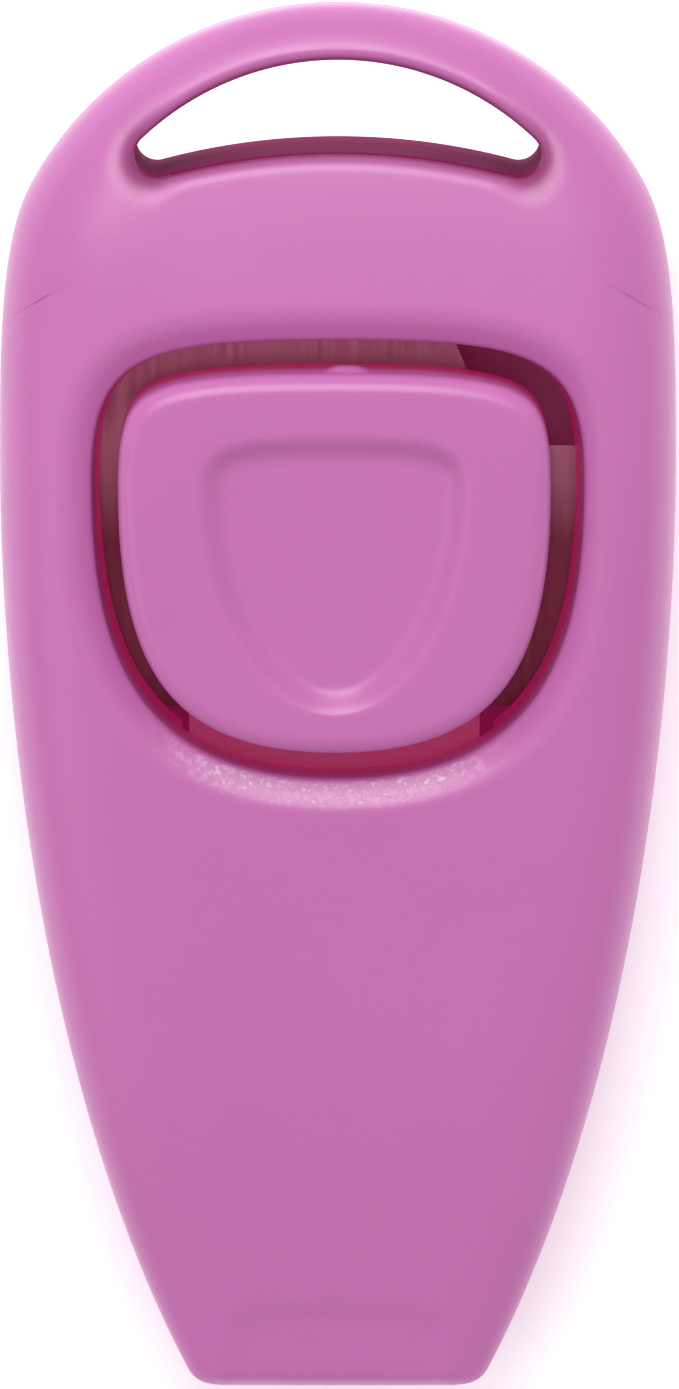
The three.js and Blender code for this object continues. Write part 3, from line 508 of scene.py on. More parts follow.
def slot_walls(piece):
    """Gives the rougher plastic, painted dark crimson as shade, to the upright faces round the slot."""
    count = len(piece.data.polygons)
    middles, normals = np.empty(count * 3, np.float32), np.empty(count * 3, np.float32)
    piece.data.polygons.foreach_get("center", middles)
    piece.data.polygons.foreach_get("normal", normals)
    x, y, _ = 1000 * middles.reshape(-1, 3).T.astype(float)
    upright = np.abs(normals.reshape(-1, 3)[:, 2]) < 0.35
    piece.data.materials.append(shaded_slot_plastic)
    on_wall = upright & (distance(x, y, slot_closed) < 0.12)
    piece.data.polygons.foreach_set("material_index", on_wall.astype(np.int32))


def shell_block(name, upper, lower, height, level, draft=0.0):
    """Solid between a face and a level near the parting plane: both rings of the face, the same rings
    flat on the level, and walls on the slot, the inner opening and the outline. The opening's wall may
    lean in by a draft."""
    grids = []
    for plan, lean in ((upper, 0.0), (lower, draft)):
        inner = plan[0] - outward(plan[0]) * lean
        face, flat = lifted(plan, height), lifted(np.array([inner, plan[-1]]), level)
        steps = np.linspace(0, 1, 13)[:, None, None]
        grids += [face, flat, face[0] * (1 - steps) + flat[0] * steps]
    outline = np.concatenate((crown_over[:-1], sides_under[:-1]))
    grids.append(np.array([lifted(outline, height), lifted(outline, level)]))
    return solid(name, grids)


def inwards(loop, reach):
    """Loop moved in by a set distance."""
    return loop - outward(loop) * reach


def stack(name, plans, heights):
    """Closed solid through plan loops at heights, lowest first, with flat ends."""
    grid = np.array([lifted(plan, height) for plan, height in zip(plans, heights)])
    return solid(name, [grid], [grid[0], grid[-1]])


case_outline = closed_from_right(np.concatenate((evenly(right_outline, 150)[:-1], [[0, CROWN_Y]])))
cavity_outline = inwards(case_outline, WALL)
clear = distance(cavity_outline[:, 0], cavity_outline[:, 1], outline_closed) > WALL - 0.02
cavity_outline = cavity_outline[clear]


def cavity(name, height, level, shares=(0.02, 0.06, 0.12, 0.2, 0.32, 0.5, 0.72, 0.93)):
    """Hollow of a half: straight up its wall, then domed under the face towards the middle line."""
    middle = np.clip(cavity_outline[:, 1], MOUTH_Y + 8.7, CROWN_CENTRE)
    toward = np.column_stack((np.zeros(len(middle)), middle))
    plans = [cavity_outline] + [cavity_outline * (1 - s) + toward * s for s in (0.0, *shares)]
    made = stack(name, plans, [level] + [height] * (len(plans) - 1))
    limit = rod("limit", SLOT_LOWER - WALL, (0, lower_y), -5, 30, 240)
    return combine(made, "INTERSECT", [limit])


BOSS_RADIUS, SHANK_HOLE, HEAD_HOLE, SCREW_SEAT = 2.5, 1.2, 2.1, 2.2


def plan_middle(node):
    """Middle of a CAD node's box in plan, in millimetres."""
    low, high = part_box(node)
    return 500 * (low[0] + high[0]), 500 * (low[1] + high[1])


bosses = [plan_middle(f"case_screw_{number}") for number in (1, 2, 3, 4)]
clamp_screws = [plan_middle(f"clamp_screw_{side}") for side in ("left", "right")]
OPENING_TOP, OPENING_LENGTH, OPENING_WIDTH, OPENING_SHOULDER = CROWN_Y - 18.8, 25.16, 28.06, 8.03
OPENING_BOTTOM = OPENING_TOP - OPENING_LENGTH
PIVOT_Y, PIVOT_Z, TRUNNION_SPAN = OPENING_BOTTOM - 3.6, 8.6, 23.0
PIVOT_HOLE, SADDLE_X, SADDLE_HALF = 1.35, 10, 1.7
PLATE_Z, PLATE_THICK = 5.65, 0.3
BULKHEAD_Y, BULKHEAD_HALF, PAST_SIDES = MOUTH_Y + 22.8, 0.6, 20
WINDWAY_WIDTH, WINDWAY_HEIGHT, BLOCK_FROM_MOUTH = 9.6, 1.2, 1.7
WINDOW_WIDTH, WINDOW_LENGTH, SOUND_EDGE, SOUND_RAMP = 10.0, 4.6, 0.4, 5.0
WINDOW_START = MOUTH_Y + 9.7
WINDOW_Y = WINDOW_START + WINDOW_LENGTH / 2


def rounded_box(half_x, half_y, radius, centre, steps=16):
    """Counter-clockwise rectangle with round corners."""
    corners = []
    for turn, (sx, sy) in enumerate(((1, 1), (-1, 1), (-1, -1), (1, -1))):
        corner = (centre[0] + sx * (half_x - radius), centre[1] + sy * (half_y - radius))
        corners.append(arc(corner, radius, turn * math.pi / 2, (turn + 1) * math.pi / 2, steps))
    return np.concatenate(corners)


def closed(loop):
    """Loop with its first point again at its end."""
    return np.concatenate((loop, loop[:1]))


window_dense = rounded_box(WINDOW_WIDTH / 2, WINDOW_LENGTH / 2, 0.4, (0, WINDOW_Y))
window_loop = matched(lower_loop, evenly(closed(window_dense), 3000), np.array((0, WINDOW_Y)))
back_plan = ring(window_loop, lower_loop, [0.0, 0.03, 0.08, 0.15, 0.25, 0.4], OUTLINE_STEPS,
                 np.linspace(0, 1, 46)[1:-1], on_sides)
REAR_TOP = PARTING - SEAM / 2


def back_edge(x, y):
    """Back face with its edges at the slot and the window rounded."""
    window = 0.2 * (1 - edge_rise(distance(x, y, closed(window_dense)), 0.2, 2))
    return np.minimum(back_height(x, y) + slot_drop(x, y) + window, PARTING - SEAM)


def windway_floor(y):
    """Outer wall of the windway: the inside of the back on the middle line."""
    return float(back_height(np.array(0.0), np.array(max(y, MOUTH_Y + MOUTH_ROUNDING)))) + WALL


rear = shell_block("rear_shell_moulding", upper_plan, back_plan, back_edge, REAR_TOP)
hollow = cavity("rear_hollow", lambda x, y: np.minimum(back_height(x, y) + WALL, REAR_TOP), PARTING + 1)
kept = [rod(f"well{k}", BOSS_RADIUS, at, -1, 8) for k, at in enumerate(bosses)]
kept += [rod(f"clamp_post{k}", BOSS_RADIUS, at, -1, PLATE_Z - 0.05) for k, at in enumerate(clamp_screws)]
kept.append(block("bulkhead", (-PAST_SIDES, BULKHEAD_Y - BULKHEAD_HALF, -1),
                  (PAST_SIDES, BULKHEAD_Y + BULKHEAD_HALF, 8)))
for side in (-1, 1):
    kept.append(block("rail", (side * 13.45 - 0.75, OPENING_BOTTOM + 4.4, -1),
                      (side * 13.45 + 0.75, OPENING_TOP - 7.7, PLATE_Z - 0.05)))
    kept.append(block("support", (side * SADDLE_X - 1.2, PIVOT_Y - SADDLE_HALF, -1),
                      (side * SADDLE_X + 1.2, PIVOT_Y + SADDLE_HALF, PIVOT_Z - PIVOT_HOLE)))
    start_y = MOUTH_Y + BLOCK_FROM_MOUTH - 0.5
    kept.append(across("windway_rail", [
        (start_y, -1), (WINDOW_START, -1),
        (WINDOW_START, windway_floor(WINDOW_START) + WINDWAY_HEIGHT - 0.05),
        (start_y, windway_floor(start_y) + WINDWAY_HEIGHT - 0.05),
    ], side * 5.6 - 0.8, side * 5.6 + 0.8))
combine(hollow, "DIFFERENCE", kept)
edge_y = WINDOW_Y + WINDOW_LENGTH / 2
edge_z = float(back_height(np.array(0.0), np.array(edge_y))) + WALL - SOUND_EDGE
mouth_floor = windway_floor(MOUTH_Y + MOUTH_ROUNDING)
cutters = [hollow]
cutters.append(across("ramp", [(edge_y - 0.2, -1), (edge_y + SOUND_RAMP, -1), (edge_y + SOUND_RAMP, 0.001),
                               (edge_y - 0.2, edge_z)], -WINDOW_WIDTH / 2, WINDOW_WIDTH / 2))
cutters.append(block("mouth_slit", (-WINDWAY_WIDTH / 2, MOUTH_Y - 1, mouth_floor),
                     (WINDWAY_WIDTH / 2, MOUTH_Y + BLOCK_FROM_MOUTH + 1, mouth_floor + WINDWAY_HEIGHT)))
cutters += [rod(f"head{k}", HEAD_HOLE, at, -1, SCREW_SEAT, 64) for k, at in enumerate(bosses)]
cutters += [rod(f"shank{k}", SHANK_HOLE, at, 0, 8, 32) for k, at in enumerate(bosses)]
cutters += [rod(f"clamp{k}", SHANK_HOLE, at, 2.4, 8, 32) for k, at in enumerate(clamp_screws)]
combine(rear, "DIFFERENCE", cutters)


def inside_shade_mask_rear(x, y, z):
    """Mask of painted shade and glow: 1 inside the shell and 0 on its outer face, weaker under the upper
    half of the opening.
    """
    above = smooth(z - back_height(x, y), 0.5, 2.5) * smooth(distance(np.abs(x), y, side_to_past), 0.4, 1.4)
    return (1 - 0.6 * smooth(y, 0, 8)) * above * (1 - slot_shade(x, y))


attribute(rear, "inside", inside_shade_mask_rear)
# Painted shade on the slot's walls, fading out towards the back face.
attribute(rear, "shade", lambda x, y, z: 0.85 * slot_shade(x, y) * smooth(z, 3.0, 5.0))
attribute(rear, "nicks", lambda x, y, z: 0.25 * smooth(0.25 - z, 0, 0.2))
finished(rear, case_plastic, "case", ["rear_shell"], 50)
slot_walls(rear)


# ---- Whistle block ----
# Bar of uncoloured ABS pressed between the windway's rails. Its outer face is one wall of the windway.
# Its edges are broken slightly, as they leave the mould.

inner_plastic = moulded_abs("natural moulded ABS, matt", "#e6e1da", "#d8cfc0", 0.5, 0.4, 0.0)


def softened(piece, width, segments=2):
    """Rounds the piece's sharp edges and makes the result its mesh."""
    step = piece.modifiers.new("rounding", "BEVEL")
    step.width, step.segments, step.limit_method = 0.001 * width, segments, "ANGLE"
    step.angle_limit = math.radians(40)
    graph = bpy.context.evaluated_depsgraph_get()
    made = bpy.data.meshes.new_from_object(piece.evaluated_get(graph))
    piece.modifiers.clear()
    piece.data = made
    return piece


FACE_PEAK, PEAK_FROM_CROWN, CROWN_FACE, MOUTH_FACE, FACE_FALL = 13.2, 28, 9.2, 8.4, 2.2
LIP_DEPTH, LIP_LENGTH, LIP_HALF, LIP_ARCH = 0.3, 5.4, 6.4, 0.6


def face_crown(y):
    """Height of the face on its middle line: highest 28 mm from the crown, falling to both ends with
    the distance to the power 2.2."""
    peak_y = CROWN_Y - PEAK_FROM_CROWN
    end = np.where(y > peak_y, CROWN_FACE, MOUTH_FACE)
    run = np.where(y > peak_y, CROWN_Y - peak_y, peak_y - MOUTH_Y)
    return FACE_PEAK - (FACE_PEAK - end) * np.minimum(np.abs(y - peak_y) / run, 1) ** FACE_FALL


def lip_step(x, y):
    """Shallow step across the mouthpiece: 0.3 mm down towards its end, on a slightly arched line."""
    edge = MOUTH_Y + LIP_LENGTH - (x / LIP_HALF) ** 2 * LIP_ARCH
    return LIP_DEPTH * edge_rise(LIP_HALF - np.abs(x), 2, 2) * smooth(edge - y, 0, 0.8)


def face_height(x, y):
    """Front face: the crown line rounded down to the parting plane at the sides and the mouthpiece."""
    rise = edge_rise(distance(np.abs(x), y, side_to_past), 8, 3.2) * edge_rise(y - MOUTH_Y, MOUTH_ROUNDING, 2)
    return PARTING + (face_crown(y) - PARTING) * rise - lip_step(x, y)


block_half = WINDWAY_WIDTH / 2 + WALL
block_start = MOUTH_Y + BLOCK_FROM_MOUTH + 0.15
over = [float(face_height(np.array(block_half), np.array(y))) - WALL - 0.3
        for y in (block_start, WINDOW_START)]
whistle_block = across("whistle_block_bar", [
    (block_start, windway_floor(block_start) + WINDWAY_HEIGHT),
    (WINDOW_START, windway_floor(WINDOW_START) + WINDWAY_HEIGHT),
    (WINDOW_START, over[1]), (block_start, over[0]),
], -block_half, block_half)
softened(whistle_block, 0.15)
finished(whistle_block, inner_plastic, "case", ["whistle_block"])


# ---- Click plate ----
# Blanked from 0.3 mm spring steel, with a dome pressed in that snaps over under the button's pusher. The
# tail is clamped by two screws and the corner beside it is cut away.

def metal(name, colour, roughness, streak, blotch, painted_shade_tone=None):
    """Bare metal: fine lines along one axis from rolling or plating, slow patches of tone, and where a
    shade tone is given, painted shade in that darker colour from Y = 15 mm down, full below Y = 9 mm."""
    made, tree = material(name)
    place = add(tree, "TexCoord")
    stretched = add(tree, "Mapping", None, Vector=(place, "Object"), Scale=streak)
    lines = add(tree, "TexNoise", None, Vector=(stretched, "Vector"), Scale=1000 / 0.4, Detail=5.0)
    patches = add(tree, "TexNoise", None, Vector=(place, "Object"), Scale=1000 / 3, Detail=3.0)
    tone = add(tree, "Mix", {"data_type": "RGBA"}, Factor=(patches, "Fac"), in6=linear(colour),
               in7=linear(blotch))
    if painted_shade_tone:
        # Painted shade: darker from Y = 15 mm down, full below Y = 9 mm.
        apart = add(tree, "SeparateXYZ", None, Vector=(place, "Object"))
        painted_shade_ramp = add(tree, "MapRange", None, Value=(apart, "Y"), From_Min=0.015, From_Max=0.009)
        tone = add(tree, "Mix", {"data_type": "RGBA"}, Factor=(painted_shade_ramp, "Result"), in6=(tone, "Result"),
                   in7=linear(painted_shade_tone))
    rough = add(tree, "MapRange", None, Value=(lines, "Fac"), From_Min=0.3, From_Max=0.7,
                To_Min=roughness - 0.08, To_Max=roughness + 0.1)
    grooves = add(tree, "Bump", None, Strength=0.25, Distance=0.00001, Height=(lines, "Fac"))
    surface = add(tree, "BsdfPrincipled", None, Base_Color=(tone, "Result"), Metallic=1.0,
                  Roughness=(rough, "Result"), Normal=(grooves, "Normal"))
    add(tree, "OutputMaterial", None, Surface=(surface, "BSDF"))
    return made


# Painted reflection and shade: the pink colours stand in for the pink case reflected in the steel, and its
# darker lower part for shade.
spring_steel = metal("rolled spring steel", "#e39ab8", 0.5, (1.0, 0.06, 1.0), "#c08aa0", "#93485f")
DOME_Y, DOME_RADIUS, DOME_HEIGHT = OPENING_TOP - 11.2, 5.5, 0.8
plate_corners = [(-14.2, OPENING_BOTTOM + 3.4), (14.2, OPENING_BOTTOM + 3.4), (14.2, OPENING_TOP - 6.7),
                 (9.3, OPENING_TOP - 6.7), (6.2, OPENING_TOP + 0.4), (6.2, CROWN_Y - 12.6),
                 (-10.5, CROWN_Y - 12.6), (-10.5, OPENING_TOP - 1), (-14.2, OPENING_TOP - 1)]


def round_polygon(corners, radius, steps=8):
    """Straight-sided loop with each corner replaced by a curve that starts and ends at the radius."""
    corners = np.array(corners, float)
    parts = []
    for before, at, after in zip(np.roll(corners, 1, axis=0), corners, np.roll(corners, -1, axis=0)):
        start = at + (before - at) / np.linalg.norm(before - at) * radius
        stop = at + (after - at) / np.linalg.norm(after - at) * radius
        parts.append(cubic(start, (start + 2 * at) / 3, (stop + 2 * at) / 3, stop, steps))
    return np.concatenate(parts)


plate_dense = evenly(closed(round_polygon(plate_corners, 0.6)), 4000)
dome_loop = arc((0, DOME_Y), DOME_RADIUS, 0, 2 * math.pi, 241)[:-1]
plate_loop = matched(dome_loop, plate_dense, np.array((0, DOME_Y)))
plate_plan = np.array(
    [np.array((0, DOME_Y)) + (dome_loop - (0, DOME_Y)) * s for s in np.linspace(0.02, 1, 26)]
    + [dome_loop * (1 - s) + plate_loop * s for s in (0.02, 0.1, 0.3, 0.6, 0.9, 0.97, 0.995, 1)]
)


def dome_lift(x, y):
    """Pressed dome: height times (1 - s^2)^2, s being the distance from its middle over its radius."""
    share = np.minimum(np.hypot(x, y - DOME_Y) / DOME_RADIUS, 1)
    return DOME_HEIGHT * (1 - share**2) ** 2


plate_low = lifted(plate_plan, lambda x, y: PLATE_Z + dome_lift(x, y))
plate_high = lifted(plate_plan, lambda x, y: PLATE_Z + PLATE_THICK + dome_lift(x, y))
plate = solid("click_plate_pressing", [plate_low, plate_high, np.array([plate_low[-1], plate_high[-1]])],
              [plate_low[0], plate_high[0]])
combine(plate, "DIFFERENCE", [rod(f"hole{k}", SHANK_HOLE, at, 5, 7) for k, at in enumerate(clamp_screws)])
finished(plate, spring_steel, "case", ["click_plate"])
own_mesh(plate)


# ---- Plate clamp and its screws ----
# A bar of uncoloured ABS with rounded corners holds the tail of the plate down. Two self-tapping screws
# go through it into posts of the rear shell. Heads and threads are rolled, then zinc plated.

CLAMP_Z, CLAMP_TOP, CLAMP_EDGE = 6.0, 8.0, 0.15
clamp_middle = (np.mean([x for x, _ in clamp_screws]), clamp_screws[0][1])
clamp_loop = rounded_box(7.7, 2.1, 0.6, clamp_middle)
clamp_end = inwards(clamp_loop, CLAMP_EDGE)
clamp = stack("plate_clamp_bar", [clamp_end, clamp_loop, clamp_loop, clamp_end],
              [CLAMP_Z, CLAMP_Z + CLAMP_EDGE, CLAMP_TOP - CLAMP_EDGE, CLAMP_TOP])
combine(clamp, "DIFFERENCE", [rod(f"bore{k}", SHANK_HOLE, at, 5, 9) for k, at in enumerate(clamp_screws)])
finished(clamp, inner_plastic, "case", ["plate_clamp"])

zinc_steel = metal("zinc-plated steel", "#a9adb3", 0.33, (1.0, 1.0, 1.0), "#8d9094")


def turned_screw(name, centre, seat, direction, length, node):
    """Pan-head thread-forming screw: a turned profile carried round an axis, whose shank radius is
    0.72 + 0.28 * (1 - |2 frac(z / pitch - angle) - 1|)^3, faded out at the point."""
    angle = np.linspace(0, 2 * math.pi, 41)[:-1]
    head = [(0.02, -1.25), (0.7, -1.245), (1.2, -1.2), (1.55, -1.05), (1.8, -0.8), (1.9, -0.5), (1.9, -0.2),
            (1.87, -0.06), (1.8, -0.05), (1.05, -0.05), (0.98, 0.05)]
    along = np.linspace(0.15, length - 0.02, 110)
    turn = (along[:, None] / 0.85 - angle / (2 * math.pi)) % 1
    crest = (1 - np.abs(2 * turn - 1)) ** 3
    taper = np.minimum((length - along) / 1.3, 1)[:, None] ** 0.7
    shank = (0.72 + 0.28 * crest) * np.maximum(taper, 0.03)
    radius = np.concatenate((np.array([r for r, _ in head])[:, None] * np.ones(40), shank))
    height = np.concatenate(([z for _, z in head], along))[:, None] * np.ones(40)
    grid = np.stack((centre[0] + radius * np.cos(angle), centre[1] + radius * np.sin(angle) * direction,
                     seat + height * direction), axis=-1)
    made = solid(name, [grid], [grid[0], grid[-1]])
    top, floor = seat - 1.5 * direction, seat - 0.4 * direction
    low, high = min(top, floor), max(top, floor)
    wide, narrow = 1.15, 0.26
    combine(made, "DIFFERENCE", [
        block("cross", (centre[0] - x, centre[1] - y, low), (centre[0] + x, centre[1] + y, high))
        for x, y in ((wide, narrow), (narrow, wide))
    ])
    return finished(made, zinc_steel, "case", [node], 40)


for side, at in zip(("left", "right"), clamp_screws):
    turned_screw(f"clamp_screw_{side}_turned", at, CLAMP_TOP, -1, 5.4, f"clamp_screw_{side}")


# ---- Front shell ----
# The front half of the case, moulded in the same pink ABS. The slot's edge is rounded over 1 mm. A dish
# slopes down to the button opening and ends in a crisp rim, and a guide wall goes down from it.

def opening_line():
    """Right half of the opening: flat bottom, full flanks and a broad flat top."""
    half, widest = OPENING_WIDTH / 2, OPENING_TOP - OPENING_SHOULDER
    lower = widest - OPENING_BOTTOM
    return run_together(
        cubic((0, OPENING_BOTTOM), (0.865 * half, OPENING_BOTTOM), (half, widest - 0.535 * lower),
              (half, widest), 240),
        cubic((half, widest), (half, widest + 0.897 * OPENING_SHOULDER), (0.805 * half, OPENING_TOP),
              (0, OPENING_TOP), 200),
    )


opening_dense = closed_from_right(opening_line())
DISH_MIDDLE = np.array((0.0, 9.0))
opening_loop = matched(lower_loop, closed(opening_dense), DISH_MIDDLE)
opening_closed = closed(opening_loop)
DISH_WIDTH, DISH_DEPTH, RIM_RADIUS, OPENING_DRAFT = 2.2, 1.05, 0.22, 0.6
DISH_STEPS = [0, 0.01, 0.04, 0.09, 0.15, 0.22, 0.35, 0.6, 0.9, 1.2, 1.45, 1.65, 1.8, 1.92, 2.02, 2.12, 2.25,
              2.5]
front_plan = ring(opening_loop, lower_loop, DISH_STEPS, OUTLINE_STEPS, np.linspace(0, 1, 46)[1:-1], on_sides)


def dish_drop(x, y):
    """Dish: an even slope that starts softly at its outer edge, and a rim rounded over 0.22 mm."""
    away = distance(x, y, opening_closed)
    share = np.clip(1 - away / DISH_WIDTH, 0, 1)
    soft = 0.6
    slope = np.where(share < soft, share**2 / (2 * soft), share - soft / 2) / (1 - soft / 2)
    return DISH_DEPTH * slope + RIM_RADIUS * (1 - edge_rise(away, RIM_RADIUS, 2))


def face_edge(x, y):
    """Front face with the dish and the slot's rounding taken off it."""
    return np.maximum(face_height(x, y) - dish_drop(x, y) - slot_drop(x, y), PARTING + SEAM)


FRONT_LOW = PARTING + SEAM / 2
front = shell_block("front_shell_moulding", upper_plan, front_plan, face_edge, FRONT_LOW, OPENING_DRAFT)
hollow = cavity("front_hollow", lambda x, y: face_height(x, y) - WALL, PARTING - 1,
                (0.03, 0.08, 0.14, 0.22, 0.34, 0.5, 0.72, 0.93))
rim_z = float(face_height(np.array(0.0), np.array(OPENING_BOTTOM))) - DISH_DEPTH
ABOVE_FACE, BELOW_PARTING, COLLAR_WALL, COLLAR_DEPTH = 16, 5, 1.4, 4
collar_loop = opening_dense[::3] + outward(opening_dense[::3]) * COLLAR_WALL
kept = [stack("collar", [collar_loop, collar_loop], [rim_z - COLLAR_DEPTH, ABOVE_FACE])]
kept += [rod(f"post{k}", BOSS_RADIUS, at, BELOW_PARTING, ABOVE_FACE) for k, at in enumerate(bosses)]
kept.append(block("bulkhead", (-PAST_SIDES, BULKHEAD_Y - BULKHEAD_HALF, BELOW_PARTING),
                  (PAST_SIDES, BULKHEAD_Y + BULKHEAD_HALF, ABOVE_FACE)))
kept += [block("saddle", (side * SADDLE_X - 1.5, PIVOT_Y - SADDLE_HALF, PIVOT_Z - 1.2),
               (side * SADDLE_X + 1.5, PIVOT_Y + SADDLE_HALF, ABOVE_FACE)) for side in (-1, 1)]
combine(hollow, "DIFFERENCE", kept)
bore = arc((PIVOT_Y, PIVOT_Z), PIVOT_HOLE, 0, math.pi, 33)
cutters = [
    hollow,
    block("tongue_notch", (-8.9, PIVOT_Y - 3.4, 5), (8.9, OPENING_BOTTOM + 3.7, PIVOT_Z + 0.9)),
    across("pivot_slot", [(PIVOT_Y - PIVOT_HOLE, 5), (PIVOT_Y + PIVOT_HOLE, 5), *bore], -11.8, 11.8),
]
cutters += [rod(f"shank{k}", SHANK_HOLE, at, 5, 9.9, 32) for k, at in enumerate(bosses)]
combine(front, "DIFFERENCE", cutters)


def inside_shade_mask_front(x, y, z):
    """Mask of painted shade and glow: 1 below the rim, in the gap round the button and inside the shell,
    and 0 on the outer face.
    """
    below = smooth(face_height(x, y) - z, 1.5, 4.2) * smooth(distance(np.abs(x), y, side_to_past), 0.4, 1.4)
    return below * (1 - slot_shade(x, y))


def rim_nicks(x, y, z):
    """Knocks along the lower inner edge of the dish, painted pale: partly scuffs, partly a painted sparkle
    highlight.
    """
    along = smooth(-y, -4, 1) * smooth(11 - np.abs(x + 0.6), 0, 6)
    away = distance(x, y, opening_closed)
    return smooth(away, 0.1, 0.35) * (1 - smooth(away, 0.7, 1.9)) * along * smooth(z, 9, 10)


attribute(front, "inside", inside_shade_mask_front)
# Painted shade round the slot, stronger on its lower lip.
attribute(front, "shade", lambda x, y, z: slot_shade(x, y) * (0.5 + 0.4 * smooth(-y, -34, -30)))
attribute(front, "nicks", rim_nicks)
finished(front, case_plastic, "case", ["front_shell"], 50)
slot_walls(front)


# ---- Button ----
# Loose key in the same pink ABS, hollow below, that turns on two moulded pins under the face. A shield-
# shaped thumb rest is sunk into its top, and the mould's gate has left a small lump on its upper side.

SIDE_SHIFT = plan_middle("button")[0]
BUTTON_TOP, BUTTON_LOW, BUTTON_EDGE, BUTTON_GAP, BUTTON_WALL = 14.5, 8.6, 1.1, 1.7, 1.5
SCALLOP_DEPTH, SCALLOP_SLOPE, SCALLOP_LENGTH, SCALLOP_HALF = 0.85, 1.45, 15.8, 7.65
scallop_top = OPENING_TOP - BUTTON_GAP - 3.6
scallop_bottom, scallop_widest = scallop_top - SCALLOP_LENGTH, scallop_top - 0.19 * SCALLOP_LENGTH
scallop_run = scallop_widest - scallop_bottom
scallop_dense = closed_from_right(run_together(
    cubic((0, scallop_bottom), (0.56 * SCALLOP_HALF, scallop_bottom),
          (SCALLOP_HALF, scallop_widest - 0.5 * scallop_run), (SCALLOP_HALF, scallop_widest), 160),
    cubic((SCALLOP_HALF, scallop_widest), (SCALLOP_HALF, scallop_top), (0.65 * SCALLOP_HALF, scallop_top),
          (0, scallop_top), 120),
))
key_dense = inwards(opening_dense, BUTTON_GAP)
key_loop = evenly(closed(key_dense), 421)[:-1]
scallop_loop = matched(key_loop, closed(scallop_dense), DISH_MIDDLE)
key_rows = [key_loop - outward(key_loop, 2) * step
            for step in (0, 0.01, 0.04, 0.1, 0.18, 0.28, 0.4, 0.55, 0.75, 0.95, 1.15)]
between = [key_rows[-1] * (1 - s) + scallop_loop * s for s in (0.15, 0.35, 0.55, 0.75, 0.9, 0.96, 1)]
sunk = [scallop_loop * (1 - s) + DISH_MIDDLE * s
        for s in (0.02, 0.04, 0.07, 0.1, 0.13, 0.17, 0.21, 0.25, 0.3, 0.36, 0.45, 0.6, 0.8, 0.98)]
key_plan = np.array(key_rows + between + sunk)


offsets = scallop_dense - DISH_MIDDLE
turns = np.arctan2(offsets[:, 1], offsets[:, 0])
scallop_reach = (np.sort(turns), np.hypot(*offsets.T)[np.argsort(turns)])


def thumb_rest(x, y):
    """Depth of the thumb rest: an S-shaped slope, 3t^2 - 2t^3, in from its outline."""
    reach = np.interp(np.arctan2(y - DISH_MIDDLE[1], x), *scallop_reach, period=2 * math.pi)
    away = distance(x, y, closed(scallop_dense)) * np.sign(reach - np.hypot(x, y - DISH_MIDDLE[1]))
    return SCALLOP_DEPTH * smooth(away, -0.25, SCALLOP_SLOPE)


def key_height(x, y):
    """Top of the key: flat with an elliptical edge 1.1 mm wide and high, and the thumb rest sunk in."""
    edge = BUTTON_EDGE * (1 - edge_rise(distance(x, y, closed(key_dense)), BUTTON_EDGE, 2))
    return BUTTON_TOP - edge - thumb_rest(x, y)


key_face = lifted(key_plan, key_height)
wall_heights = [13.3, 13.1, 12.9, 12.6, 12.3, 12.0, 11.7, 11.4, 11.1, 10.6, 9.8, BUTTON_LOW]
key_wall = np.array([key_face[0]] + [lifted(key_loop, height) for height in wall_heights])
# Gate lump: a low swelling of the wall on its upper side, exp(-t^4) across and faded out up and down
GATE_X, GATE_HALF, GATE_REACH = 0.7, 1.1, 0.3
lump = np.exp(-(((key_wall[..., 0] - GATE_X) / GATE_HALF) ** 4)) * smooth(key_wall[..., 2], 11.0, 11.6)
lump = lump * (1 - smooth(key_wall[..., 2], 12.7, 13.2)) * (key_wall[..., 1] > 15)
key_wall[..., 1] += GATE_REACH * lump
key = solid("button_key", [key_face, key_wall], [key_face[-1], key_wall[-1]])
ceiling = BUTTON_TOP - SCALLOP_DEPTH - BUTTON_WALL - 0.4
inner_loop = inwards(key_dense[::3], BUTTON_WALL)
combine(key, "DIFFERENCE", [stack("key_hollow", [inner_loop, inner_loop], [BUTTON_LOW - 1, ceiling])])
pusher_low = PLATE_Z + PLATE_THICK + DOME_HEIGHT + 0.3
PUSHER_RADIUS, RIB_HALF, RIB_REACH, TONGUE_HALF, PIN_RADIUS = 2.4, 0.6, 9.35, 8.3, 1.2
into_top = ceiling + 0.5
pin = arc((PIVOT_Y, PIVOT_Z), PIN_RADIUS, 0, 2 * math.pi, 49)[:-1]
combine(key, "UNION", [
    rod("pusher", PUSHER_RADIUS, (0, DOME_Y), pusher_low, into_top),
    block("rib_x", (-RIB_REACH, DOME_Y - RIB_HALF, BUTTON_LOW + 1), (RIB_REACH, DOME_Y + RIB_HALF, into_top)),
    block("rib_y", (-RIB_HALF, DOME_Y - 8, BUTTON_LOW + 1), (RIB_HALF, DOME_Y + 6, into_top)),
    block("tongue", (-TONGUE_HALF, PIVOT_Y - PIN_RADIUS, PIVOT_Z - 0.8),
          (TONGUE_HALF, OPENING_BOTTOM + 4.7, PIVOT_Z + 0.8)),
    across("pins", pin, -TRUNNION_SPAN / 2, TRUNNION_SPAN / 2),
])
places = np.empty(3 * len(key.data.vertices), np.float32)
key.data.vertices.foreach_get("co", places)
places[::3] += 0.001 * SIDE_SHIFT
key.data.vertices.foreach_set("co", places)
# Painted shade and glow: the key's wall turns darker and redder, and glows crimson, further below its top.
attribute(key, "inside", lambda x, y, z: smooth(12.6 - z, 0, 3.0))
finished(key, case_plastic, "button", ["button"])


# ---- Case screws ----
# Four zinc-plated thread-forming screws, driven from the back until their heads sit in the wells.

for number, at in enumerate(bosses, 1):
    turned_screw(f"case_screw_{number}_turned", at, SCREW_SEAT, 1, 7.4, f"case_screw_{number}")


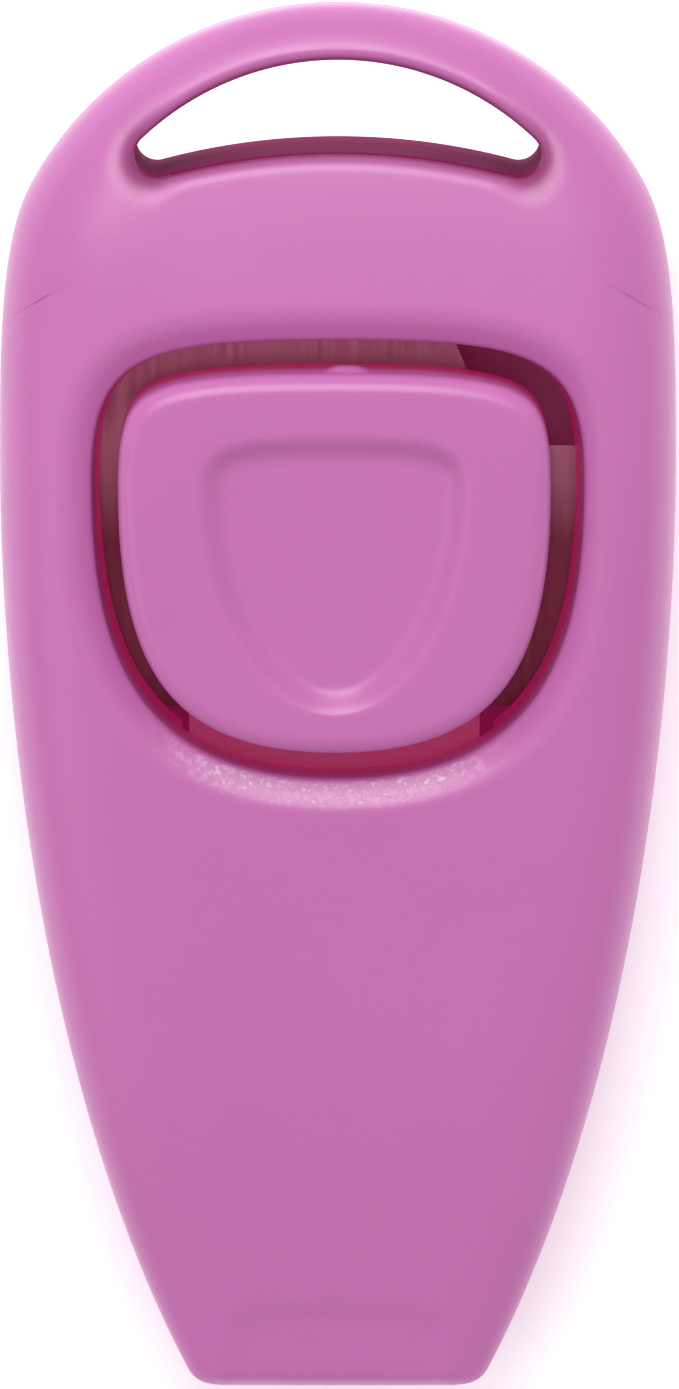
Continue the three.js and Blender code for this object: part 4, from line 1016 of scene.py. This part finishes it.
# ---- Floor, light and camera ----
# White light table, a broad softbox above the lanyard end and a weaker one opposite.

paper, tree = material("white light table, matt")
place = add(tree, "TexCoord")
fibre = add(tree, "TexNoise", None, Vector=(place, "Object"), Scale=1000 / 1.5, Detail=4.0)
weave = add(tree, "Bump", None, Strength=0.05, Distance=0.0001, Height=(fibre, "Fac"))
sheet = add(tree, "BsdfPrincipled", None, Base_Color=linear("#fbfafb"), Roughness=0.9,
            Normal=(weave, "Normal"), Emission_Color=linear("#ffffff"))
# Painted light: the table glows brighter in a patch under the slot, lifting the shadow seen through it.
off_bright_patch = add(tree, "VectorMath", {"operation": "DISTANCE"}, in0=(place, "Object"), in1=(0, 0.033, 0))
painted_light_patch = add(tree, "MapRange", None, Value=(off_bright_patch, "Value"), From_Min=0.012, From_Max=0.021, To_Min=1.0,
                To_Max=0.3)
tree.links.new(painted_light_patch.outputs["Result"], sheet.inputs["Emission Strength"])
add(tree, "OutputMaterial", None, Surface=(sheet, "BSDF"))
FLOOR_HALF, FLOOR_Z = 1.5, -0.0002
sheet_mesh = bpy.data.meshes.new("floor")
corners = [(x * FLOOR_HALF, y * FLOOR_HALF, FLOOR_Z) for x, y in ((-1, -1), (1, -1), (1, 1), (-1, 1))]
sheet_mesh.from_pydata(corners, [], [(0, 1, 2, 3)])
floor = put("floor", sheet_mesh)
floor.data.materials.append(paper)

world = bpy.data.worlds.new("studio")
bpy.context.scene.world = world
world.use_nodes = True
world.node_tree.nodes["Background"].inputs["Color"].default_value = linear("#fff8fc")
world.node_tree.nodes["Background"].inputs["Strength"].default_value = 0.67
middle = Vector((0, 0, 0.006))


def softbox(name, place, size, power, tint):
    """Rectangular lamp turned towards the middle of the object."""
    data = bpy.data.lights.new(name, "AREA")
    data.shape, data.size, data.size_y, data.energy = "RECTANGLE", size[0], size[1], power
    data.color = linear(tint)[:3]
    lamp = bpy.data.objects.new(name, data)
    bpy.context.scene.collection.objects.link(lamp)
    lamp.location = place
    lamp.rotation_euler = (middle - Vector(place)).to_track_quat("-Z", "Y").to_euler()


softbox("key_light", (-0.04, 0.34, 0.4), (0.26, 0.34), 1.5, "#ffffff")
softbox("fill_light", (-0.35, -0.1, 0.4), (0.3, 0.3), 0.2, "#fff4fa")

TILT, REACH, FRAME_LONG_SIDE = math.radians(7.5), 1.2, 0.07966
camera = bpy.data.objects.new("camera", bpy.data.cameras.new("camera"))
bpy.context.scene.collection.objects.link(camera)
bpy.context.scene.camera = camera
target = Vector((0.00009, 0.00011, 0.006))
camera.location = target + REACH * Vector((0, math.sin(TILT), math.cos(TILT)))
camera.rotation_euler = (-TILT, 0, 0)
camera.data.angle = 2 * math.atan(FRAME_LONG_SIDE / 2 / REACH)
camera.data.clip_start, camera.data.clip_end = 0.01, 10
bpy.context.scene.view_settings.view_transform = "Standard"
